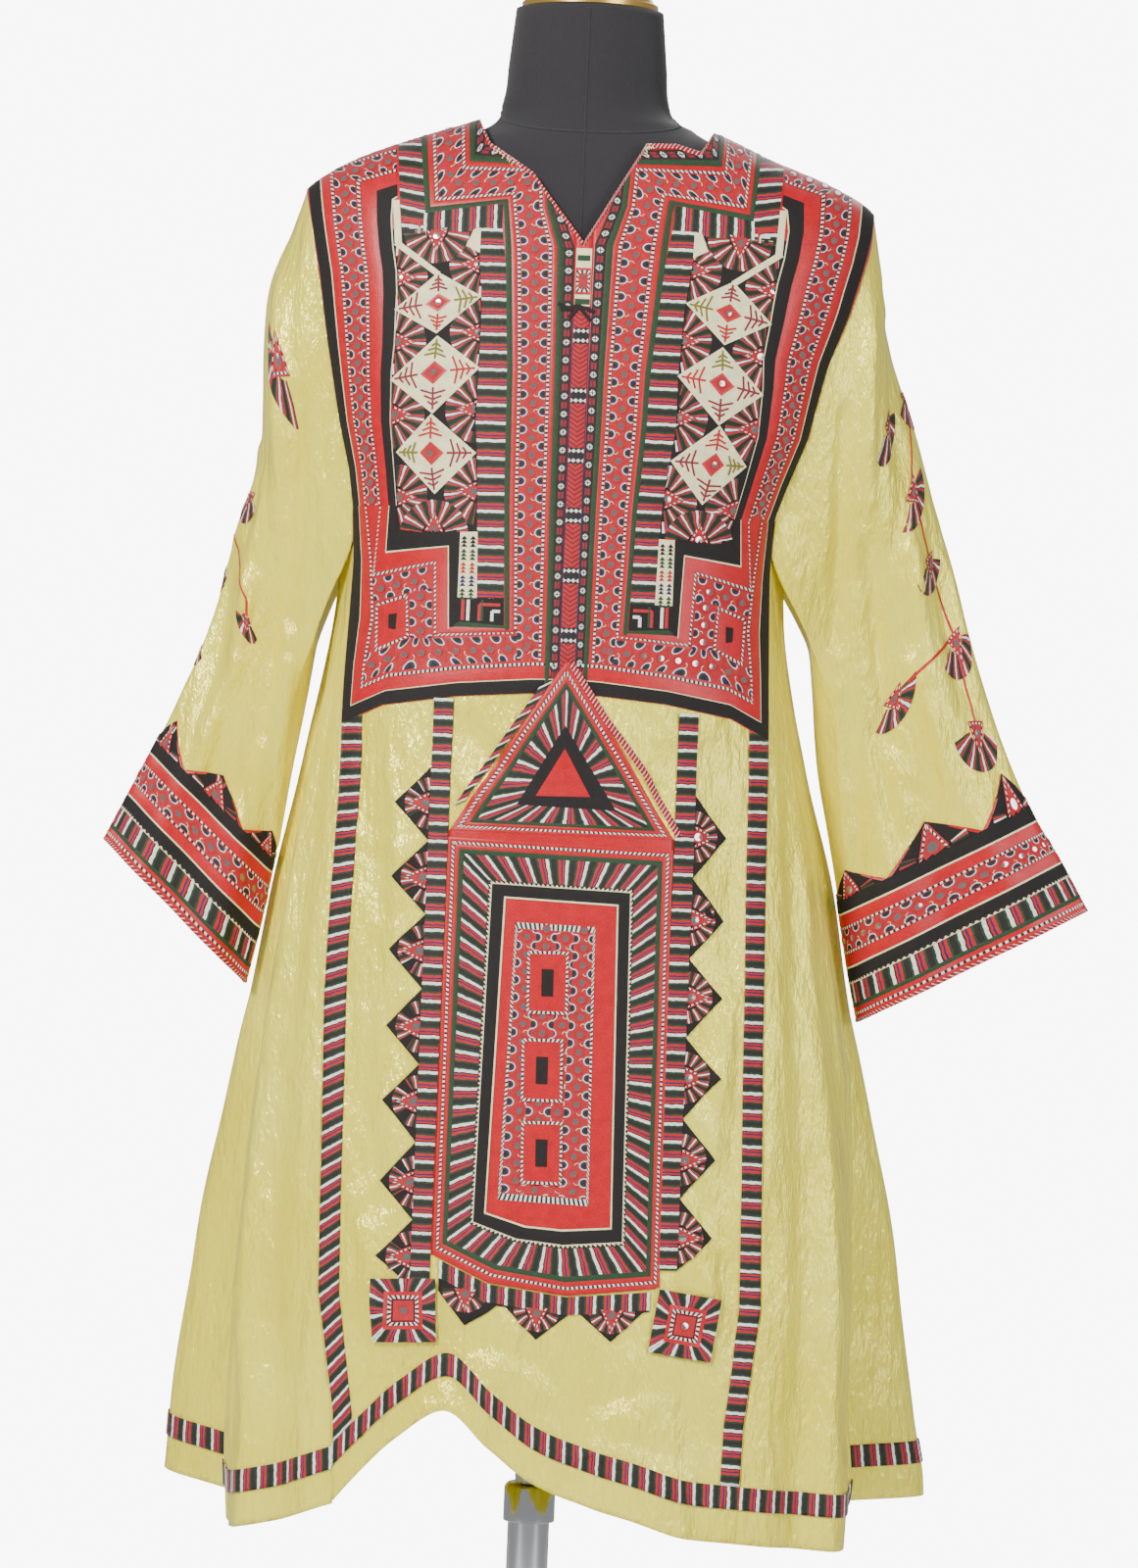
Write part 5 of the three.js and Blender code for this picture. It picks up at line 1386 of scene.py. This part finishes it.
work.ring([(-25.9, 755.5), (30, 754.3), (33, 558.9), (-30.5, 561)], box(2, 4, 680, 640),
          "dots", 0, 0.075, 1.55)
for x0, x1, k in ((-24.5, -10.5, 0), (-11, 3, 1), (2.5, 16.5, 0), (15.5, 29, 1)):
    work.strip([(x0, 751), (x0 - 3.5, 565)], [(x1, 751), (x1 + 1.5, 565)], "mirrors", lift=1.44 + 0.02 * k,
               begin=6 * k)
for x, z in ((-1.8, 713.5), (-3.2, 652.5), (-1.2, 595.2)):
    rim = [(x - 15, z + 22), (x + 14, z + 22.5), (x + 15, z - 22), (x - 14, z - 22)]
    core = [(x - 4.4, z + 9.5), (x + 3.9, z + 9.5), (x + 4.2, z - 9.5), (x - 4, z - 9.5)]
    work.patch(rim, "red", 2.15)
    work.ring(rim, core, "dots", 0.0, 0.2, 2.3)
    work.patch(core, "black", 2.3)
# The pocket's point
work.rows(looped([(2.4, 936.5), (81, 816.5), (-74, 817)]), looped([(3.2, 893), (41, 835), (-28.5, 836.7)]), (
    ("red", 0, 0.1, 1.35), ("dots", 0.09, 0.19, 1.5), ("red", 0.2, 0.3, 1.38), ("green", 0.3, 0.42, 1.5),
    ("stripes", 0.42, 1.0, 1.4)), 0.2)
work.patch([(3.2, 893), (41, 835), (-28.5, 836.7)], "black", 1.46)
work.patch([(3.6, 877), (22.5, 844), (-15.5, 843.3)], "red", 1.62)
edge = np.array([(3.5, 936), (29.3, 897), (39.6, 884), (57.7, 861), (83, 818)])
work.strip(edge, edge + (4.2, 1.8), "whipped", lift=1.9, crown=0.9, across=3.2)
work.strip([(-16, 919), (-72, 834)], [(-7, 924), (-64, 838)], "stripes", lift=1.3, crown=0.2)
pocket_stitches = work.build("pocket_stitching", "embroidery")
cut(pocket_grid)


# The toothed bands beside and under the pocket
def band_cloth(name, stops, node_name):
    z = np.array([s[0] for s in stops], float)
    rows = np.unique(np.concatenate([np.linspace(z[i], z[i + 1], 12) for i in range(len(z) - 1)]))
    near = np.interp(rows, z, [s[1] for s in stops])
    out = np.interp(rows, z, [s[2] for s in stops])
    t = np.linspace(0, 1, 14)[None, :]
    flat = np.stack([near[:, None] + (out - near)[:, None] * t, rows[:, None] + 0 * t], -1)
    return front_cloth(name, flat, 1.1, "black", node_name)


LEFT_TIPS = [835, 783, 732, 679, 627, 571, 519]
RIGHT_TIPS = [819, 761, 707, 651, 594, 540]
for side, name, tips, near, top in ((-1, "left", LEFT_TIPS, -75.4, 909), (1, "right", RIGHT_TIPS, 82.4, 905)):
    out = near + side * 13.6
    tip = near + side * 37.6
    pitch = tips[0] - tips[1]
    stops = [(top, near, out), (tips[0] + pitch / 2, near, out)]
    for k, z in enumerate(tips):
        low = (z + tips[k + 1]) / 2 if k + 1 < len(tips) else z - pitch / 2 + 6
        stops += [(z, near, tip), (low, near, out)]
    band, band_grid = band_cloth("pocket_band_cloth_" + name, stops[::-1], "pocket_band_" + name)
    work = Stitching(front_place)
    foot = stops[-1][0]
    work.strip([(near, top), (near, foot)], [(out, top), (out, foot)], "stripes", lift=1.45, crown=0.2)
    for k, z in enumerate(tips):
        work.tooth([(out - side, z + pitch / 2), (tip, z), (out - side, z - pitch / 2)],
                   out - side, z, 0 if side > 0 else math.pi, 27, 1.3, 2.1 * k)
    stitches = work.build("pocket_band_stitching_" + name, "tape")
    area_of(band_grid)

columns = np.unique(np.concatenate([np.linspace(-69, 78, 60), [-50, 0, 52, -28, -22, 22, 30]]))
low_edge = 488.6 - 20 * np.maximum(0, 1 - np.min([abs(columns - t) for t in (-50, 0, 52)], axis=0) / 22)
top_edge = np.interp(columns, [-75, -35, 20, 82], [521, 503, 496, 502])
low_edge = low_edge + (top_edge - 502.6) * 0.7
t = np.linspace(0, 1, 12)[:, None]
flat = np.stack([columns[None, :] + 0 * t, top_edge + (low_edge - top_edge) * t], -1)
under, under_grid = front_cloth("pocket_band_cloth_bottom", flat, 0.95, "black", "pocket_band_bottom")
work = Stitching(front_place)
top = np.stack([columns, top_edge], -1)
work.strip(top, top - (0, 12.5), "stripes", lift=1.25, crown=0.15)
for k, x in enumerate((-50, 0, 52)):
    base = float(np.interp(x, columns, top_edge)) - 12
    work.tooth([(x - 23, base + 2), (x + 23, base + 2), (x, base - 23)], x, base + 1, -math.pi / 2, 24, 1.2,
               2.1 * k)
stitches = work.build("pocket_band_stitching_bottom", "tape")
area_of(under_grid)

# Corner squares: a dotted square with a mirror inside stripes
for name, x, z, turn in (("left", -92, 482, 0.05), ("right", 103, 479, -0.15)):
    def at(a, b):
        return x + a * math.cos(turn) - b * math.sin(turn), z + a * math.sin(turn) + b * math.cos(turn)

    def corners(reach):
        return looped([at(-reach, -reach), at(reach, -reach), at(reach, reach), at(-reach, reach)])

    flat = between([at(-22, -22), at(-22, 22)], [at(22, -22), at(22, 22)], 18, 18)
    square, square_grid = front_cloth("corner_cloth_" + name, flat, 3.0, "black",
                                      "corner_square_" + name)
    work = Stitching(front_place)
    work.rows(corners(22), corners(7), (
        ("stripes", 0.0, 0.62, 3.2, 0.15), ("red", 0.6, 0.75, 3.3), ("dots", 0.75, 0.95, 3.4)))
    work.patch(corners(7)[:4], "rose", 3.35)
    work.mirror(x, z, 3.0, 3.5)
    stitches = work.build("corner_stitching_" + name, "embroidery")
    min(area_of(square_grid), 0.045 ** 2)


# Striped tapes: along the seams and above the hem
def tape(name, grid, outward, node_name, across_rows):
    g = grid if across_rows else grid.transpose(1, 0, 2)
    middle = g[g.shape[0] // 2]
    u = np.concatenate([[0], np.cumsum(np.linalg.norm(np.diff(middle, axis=0), axis=-1))])
    wide = float(np.linalg.norm(g[-1, g.shape[1] // 2] - g[0, g.shape[1] // 2]))
    v = np.linspace(-wide / 2, wide / 2, g.shape[0])
    uv = np.stack(np.broadcast_arrays(u[None, :], v[:, None]), -1)
    faces = grid_faces(g.shape[0], g.shape[1], False, flipped(g, outward))
    obj = finish_mesh(name, g.reshape(-1, 3), faces, uv.reshape(-1, 2))
    thicken(obj, SEWN_CLOTH)
    dress_piece(obj, KINDS["stripes"])
    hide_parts(node_name)
    length = round(float(np.linalg.norm(np.diff(g[0], axis=0), axis=-1).sum()) * MM * 1.02, 3)
    width = round(wide * MM * 1.1, 4)
    min(area_of(g), length * width)


for side, name, c0, c1 in ((-1, "left", 0, 1), (1, "right", 27, 28)):
    low = np.interp([c0, c1], np.arange(29), FRONT_COLUMNS[:, 0])
    top = np.interp([c0, c1], np.arange(29), FRONT_COLUMNS[:, 1])
    ends = [column_x(FRONT_EDGE, a, b) for a, b in zip(low, top)]
    z0 = [float(smooth(FRONT_HEM, 1, e(HEM_LEVEL))) + HEM_RAISE + HEM_TAPE for e in ends]
    t = np.linspace(0, 1, 150)
    z = np.stack([a + (906 - a) * t for a in z0], -1)
    x = np.stack([ends[k](z[:, k]) for k in (0, 1)], -1)
    s = np.linspace(0.02, 0.98, 7)[None, :]
    flat = np.stack([x[:, :1] + (x[:, 1:] - x[:, :1]) * s, z[:, :1] + (z[:, 1:] - z[:, :1]) * s], -1)
    grid = on_front(flat[..., 0], flat[..., 1], 1.2)
    tape("seam_tape_cloth_" + name, grid, (0, -1, 0), "seam_tape_" + name, False)

front_hem = [(c, float(smooth(FRONT_HEM, 1, c))) for c in np.linspace(-139, 146.5, 130)]
rows = np.array([[(x, z + HEM_RAISE + HEM_TAPE * t) for x, z in front_hem] for t in np.linspace(0, 1, 7)])
grid = on_front(rows[..., 0], rows[..., 1], HEM_LIFT)
tape("hem_tape_cloth_front", grid, (0, -1, 0), "hem_tape_front", True)
x = np.linspace(-164, 166, 130)
z = np.array([smooth(BACK_HEM, 1, x) + HEM_RAISE + HEM_TAPE * t for t in np.linspace(0, 1, 7)])
x = x[None, :] + 0 * z
p = np.stack([x, body_y(x, z, BACK) + wave_y(x, z, BACK), z], -1)
n = body_normal(np.stack([x, body_y(x, z, BACK), z], -1))
grid = p + n * (back_relief(x, z) + HEM_LIFT)[..., None]
tape("hem_tape_cloth_back", grid, (0, 1, 0), "hem_tape_back", True)
for side, name in ((-1, "left"), (1, "right")):
    grid = gore_cloth(side, 7, HEM_RAISE, HEM_RAISE + HEM_TAPE, HEM_LIFT)
    tape("hem_tape_cloth_" + name, grid, (side * 0.5, -1, 0), "hem_tape_" + name, True)


# Sleeves in their own flat measure: a round the arm and b up it, in millimetres
SLEEVE_ROUND = {-1: 23 * STRIPE_PITCH / (2 * math.pi), 1: 28 * STRIPE_PITCH / (2 * math.pi)}
SLEEVE_LONG = 410.0


def sleeve_place(side):
    tube = sleeves[side]
    rows, columns = tube.shape[:2]
    normals = sleeve_normals(tube)

    def at(grid, s, angle):
        i, j = np.clip(s, 0, 1) * (rows - 1), (angle / (2 * np.pi)) % 1 * columns
        i0, j0 = np.minimum(i.astype(int), rows - 2), j.astype(int) % columns
        di, dj = (i - i0)[..., None], (j - np.floor(j))[..., None]
        j1 = (j0 + 1) % columns
        return (grid[i0, j0] * (1 - di) * (1 - dj) + grid[i0 + 1, j0] * di * (1 - dj)
                + grid[i0, j1] * (1 - di) * dj + grid[i0 + 1, j1] * di * dj)

    def place(a, b, lift):
        a, b = np.asarray(a, float), np.asarray(b, float)
        s, angle = -b / SLEEVE_LONG, a / SLEEVE_ROUND[side]
        out = at(normals, s, angle) * np.asarray(lift)[..., None]
        return at(tube, s, angle) + out, np.ones(a.shape, bool)

    return place


class SleeveStitching(Stitching):
    def __init__(self, side):
        super().__init__(sleeve_place(side))
        top, low = sleeves[side][60].mean(0), sleeves[side][-1].mean(0)
        self.middle = (top, top[2], (low - top) / (low[2] - top[2]))

    def outward(self, p):
        return p - (self.middle[0] + (p[:, 2:3] - self.middle[1]) * self.middle[2])


# Nearest place on the sleeve's front to an x and z
def sleeve_spot(side, x, z):
    a = np.linspace(0.02, math.pi - 0.02, 160)[None, :] * SLEEVE_ROUND[side]
    b = -np.linspace(0.02, 1, 300)[:, None] * SLEEVE_LONG
    a, b = np.broadcast_arrays(a, b)
    p, _ = sleeve_place(side)(a, b, 0 * a)
    k = np.argmin((p[..., 0] - x) ** 2 + (p[..., 2] - z) ** 2)
    return float(a.ravel()[k]), float(b.ravel()[k])


LEFT_MOTIFS = [(-210, 1148, 19), (-229, 1050, 16), (-248, 998, 15), (-228, 962, 11), (-262, 940, 12)]
RIGHT_MOTIFS = [
    (236, 1140, 19), (224, 1120, 17), (243, 1073, 19), (259, 1024, 18), (280, 968, 20), (237, 924, 17),
    (298, 905, 20),
]
LEFT_LINKS = [((-262, 1030), (-228, 975)), ((-228, 975), (-228, 962))]
RIGHT_LINKS = [((236, 1140), (243, 1073)), ((243, 1073), (259, 1024)), ((259, 1024), (280, 968)),
               ((280, 968), (237, 924)), ((280, 968), (298, 905))]
for side, name in ((-1, "left"), (1, "right")):
    around = 2 * math.pi * SLEEVE_ROUND[side]
    place = sleeve_place(side)
    edge = -CUFF_FROM * SLEEVE_LONG
    end = -SLEEVE_LONG
    tooth = around / 6
    a = np.linspace(0, around, 97)
    rise = 20.5 * (1 - abs(((a / tooth) % 1) * 2 - 1))
    t = np.linspace(0, 1, 30)[:, None]
    b = (edge + rise)[None, :] + (end - (edge + rise)[None, :]) * t
    flat_a = a[None, :] + 0 * t
    cuff_grid = place(flat_a[:, :-1], b[:, :-1], 1.0 + 0 * b[:, :-1])[0]
    cuff = sewn("cuff_cloth_" + name, cuff_grid, "red", "cuff_" + name, closed=True)
    work = SleeveStitching(side)
    upper = [(k * around / 60, edge) for k in range(61)]
    lower = [(k * around / 60, end) for k in range(61)]
    work.rows(upper, lower, (
        ("black", 0, 0.115, 1.2), ("cream", 0.11, 0.125, 1.34), ("red", 0.125, 0.22, 1.18),
        ("dots", 0.22, 0.245, 1.3), ("mirrors", 0.25, 0.405, 1.18), ("dots", 0.41, 0.435, 1.3),
        ("red", 0.44, 0.54, 1.18), ("cream", 0.535, 0.55, 1.34), ("black", 0.55, 0.65, 1.22),
        ("saw", 0.65, 0.675, 1.3), ("stripes", 0.675, 0.84, 1.2), ("green", 0.84, 0.875, 1.32),
        ("red", 0.875, 0.97, 1.2), ("dots", 0.91, 0.94, 1.36)), 0.2)
    work.strip(upper, lower, "whipped", 0.965, 1.0, 1.4, 0.2, 3.0)
    for k in range(6):
        x = (k + 0.5) * tooth
        work.clip = [(x - tooth / 2, edge - 1), (x + tooth / 2, edge - 1), (x, edge + 21.5)]
        work.patch([(x - tooth / 2, edge), (x + tooth / 2, edge), (x, edge + 20.5)], "black", 1.12)
        work.motif(x, edge + 0.5, math.pi / 2, tooth / 2 + 2, 1.75, HALF_ROUND, 1.9 * k)
        work.clip = None
    stitches = work.build("cuff_stitching_" + name, "embroidery")
    area = area_of(cuff_grid, True)
    work = SleeveStitching(side)
    motifs = LEFT_MOTIFS if side < 0 else RIGHT_MOTIFS
    for k, (x, z, size) in enumerate(motifs):
        a0, b0 = sleeve_spot(side, x, z)
        work.motif(a0, b0, -math.pi / 2 + 0.35 * math.sin(2.4 * k), size, 0.5, 2.6, begin=2.3 * k)
        # The same motifs go round the back, where the photograph doesn't reach
        work.motif(around - a0, b0, -math.pi / 2 - 0.3 * math.sin(1.9 * k), size, 0.5, 2.6, begin=1.3 * k)
    for one, two in (LEFT_LINKS if side < 0 else RIGHT_LINKS):
        work.dash(*sleeve_spot(side, *one), *sleeve_spot(side, *two), 1.8, "red", 0.45)
    motif_stitches = work.build("sleeve_stitching_" + name, "embroidery")
    cut(sleeves[side], closed=True)



# Dress form and stand
FORM = np.array([
    (648, 150, 92, 98), (700, 160, 100, 104), (760, 164, 104, 106), (830, 154, 100, 98), (900, 128, 88, 82),
    (945, 119, 84, 74), (1000, 128, 92, 76), (1060, 146, 104, 84), (1110, 158, 114, 90), (1160, 168, 116, 94),
    (1200, 176, 112, 94), (1240, 186, 102, 90), (1268, 190, 92, 84), (1300, 150, 76, 73), (1318, 96, 62, 62),
    (1330, 66, 55, 57), (1345, 59, 52, 54), (1367, 57, 51, 52), (1408, 53, 50, 50),
], float)


def form_ring(z, angle):
    inset = 1.6 + 0.9 + 2.6 * ease(z, 1200, 1250)
    power = 2.3 if z <= 1300 else 2.3 - 0.3 * min(1, (z - 1300) / 40)
    half, front, back = [smooth(FORM, k, z) for k in (1, 2, 3)]
    free = 12 * ease(z, 1330, 1356)
    left, right = [min(half, smooth(BODY, k, z + inset) - inset + free) for k in (1, 2)]
    front, back = [min(r, smooth(BODY, k, z + inset) - inset + free) for k, r in ((3, front), (4, back))]
    c, s = np.cos(angle), np.sin(angle)
    wide = np.where(c < 0, left, right)
    deep = np.where(s < 0, front, back)
    return np.stack([np.sign(c) * wide * abs(c) ** (2 / power), np.sign(s) * deep * abs(s) ** (2 / power),
                     0 * c + z], -1)


ROUND_SIDES = 96
angle = np.arange(ROUND_SIDES) / ROUND_SIDES * 2 * np.pi
hole = [np.stack([11.4 * np.cos(angle), 11.4 * np.sin(angle), 0 * angle + z], -1) for z in (730, 652)]
levels = np.concatenate([np.linspace(652, 1240, 70), np.linspace(1246, 1345, 40),
                         np.linspace(1350, 1408, 14)])
rings = np.array(hole + [form_ring(z, angle) for z in levels])
faces = grid_faces(len(rings), ROUND_SIDES, True, False)
points = np.vstack([rings.reshape(-1, 3), [(0, 0, 730), (0, 0, 1408)]])
low, high = len(points) - 2, len(points) - 1
last = (len(rings) - 1) * ROUND_SIDES
faces += [(low, (j + 1) % ROUND_SIDES, j) for j in range(ROUND_SIDES)]
faces += [(high, last + j, last + (j + 1) % ROUND_SIDES) for j in range(ROUND_SIDES)]
form = dress_piece(finish_mesh("form_torso", points, faces), FORM_CLOTH)
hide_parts("form")

for name, aim in (("front", -np.pi / 2), ("back", np.pi / 2)):
    path = np.array([form_ring(z, np.array([aim]))[0] for z in np.linspace(1180, 1404, 90)])
    welt("form_seam_" + name, path, FORM_CLOTH)
turn = np.linspace(0, 2 * np.pi, 97)
neck_base = [form_ring(1330 + 15 * math.sin(a) + 3 * math.cos(a) ** 2, np.array([a]))[0] for a in turn]
welt("form_seam_neck", np.array(neck_base), FORM_CLOTH)


# A part turned from its outline, as radii and heights
def turned(name, profile, finish, body, node_name):
    rings = np.array([np.stack([r * np.cos(angle), r * np.sin(angle), 0 * angle + z], -1)
                      for r, z in profile])
    faces = grid_faces(len(rings), ROUND_SIDES, True, False)
    obj = dress_piece(finish_mesh(name, rings.reshape(-1, 3), faces), finish, body)
    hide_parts(node_name)
    split = obj.modifiers.new("edges", "EDGE_SPLIT")
    split.split_angle = math.radians(35)


dome = [(46 * math.cos(a), 1413.4 + 16.6 * math.sin(a)) for a in np.linspace(0, math.pi / 2, 12)]
rim = [(0.01, 1408.4), (48.4, 1408.4), (49, 1409), (49, 1412.8), (48.4, 1413.4)]
turned("cap", rim + dome[:-1] + [(0.01, 1430)], BRASS, "dressed_form", "neck_cap")
turned("pole", [(0.01, 60), (11, 60), (11, 729.6), (0.01, 729.6)], CHROME, "mast", "mast")
turned("clamp_collar", [(15.4, 322), (18, 322), (18.5, 322.5), (18.5, 346), (17.5, 348.4), (15.5, 350),
                        (11.4, 350), (11.4, 338.4), (15.4, 338.4), (15.4, 322)],
       CHROME, "stand", "collar")
turned("tube", [(11.4, 7.4), (15, 7.4), (15, 338), (11.4, 338), (11.4, 7.4)],
       CHROME, "stand", "lower_tube")
turned("foot", [(0.01, 0), (169, 0), (171.2, 0.9), (172, 3), (172, 9), (171.2, 11.1), (169, 12), (25, 12),
                (22.9, 12.9), (22, 15), (22, 25.4), (21.4, 26), (15.4, 26), (15.4, 7), (0.01, 7)],
       BASE_METAL, "stand", "base")

# Room, camera and lights
scene = bpy.context.scene


def stage_plane(name, corners, finish):
    mesh = bpy.data.meshes.new(name)
    mesh.from_pydata(corners, [], [(0, 1, 2, 3)])
    obj = bpy.data.objects.new(name, mesh)
    scene.collection.objects.link(obj)
    obj.data.materials.append(finish)
    return obj


stage_plane("floor", [(-1.9, -1.9, 0), (1.9, -1.9, 0), (1.9, 1.9, 0), (-1.9, 1.9, 0)],
            plain_material("paper", linear(244, 243, 240), 0.7, 0.02, 30))
white_wall, _, wall_shader = material("white_wall", (1, 1, 1, 1), 0.9, Emission_Strength=8.0)
wall_shader.inputs["Emission Color"].default_value = (1, 1, 1, 1)
# A bright wall far behind, seen by the camera alone
wall = stage_plane("wall", [(-25, 14, -15), (25, 14, -15), (25, 14, 25), (-25, 14, 25)], white_wall)
wall.visible_diffuse = False
wall.visible_glossy = False

DISTANCE = 4200
AIM = (7.45, -60.0, 852.6)
TILT = math.radians(2.34)
camera = bpy.data.objects.new("camera", bpy.data.cameras.new("camera"))
scene.collection.objects.link(camera)
camera.data.sensor_width = 36
camera.data.lens = 36 * DISTANCE / 1112
right, up = Vector((math.cos(TILT), 0, math.sin(TILT))), Vector((-math.sin(TILT), 0, math.cos(TILT)))
turn = Matrix((right, up, (0, -1, 0))).transposed()
camera.matrix_world = Matrix.Translation((AIM[0] * MM, (AIM[1] - DISTANCE) * MM, AIM[2] * MM)) @ turn.to_4x4()
scene.camera = camera


def area_light(name, place, aim, size, power, color=(1, 1, 1)):
    data = bpy.data.lights.new(name, "AREA")
    data.shape = "RECTANGLE"
    data.size, data.size_y = size
    data.energy = power
    data.color = color
    obj = bpy.data.objects.new(name, data)
    scene.collection.objects.link(obj)
    obj.location = place
    obj.rotation_mode = "QUATERNION"
    obj.rotation_quaternion = (Vector(aim) - Vector(place)).to_track_quat("-Z", "Y")


area_light("key", (-1.6, -2.6, 2.5), (0, 0, 0.95), (0.6, 0.6), 140, (1, 0.99, 0.96))
area_light("fill", (2.2, -2.4, 1.5), (0, 0, 0.85), (1.2, 1.2), 44, (0.98, 0.99, 1))
area_light("back", (0.6, 2.2, 2.4), (0, 0, 0.9), (1.6, 1.2), 14)
world = bpy.data.worlds.new("room")
scene.world = world
world.use_nodes = True
background = world.node_tree.nodes["Background"]
background.inputs["Color"].default_value = linear(250, 250, 250)
background.inputs["Strength"].default_value = 0.42
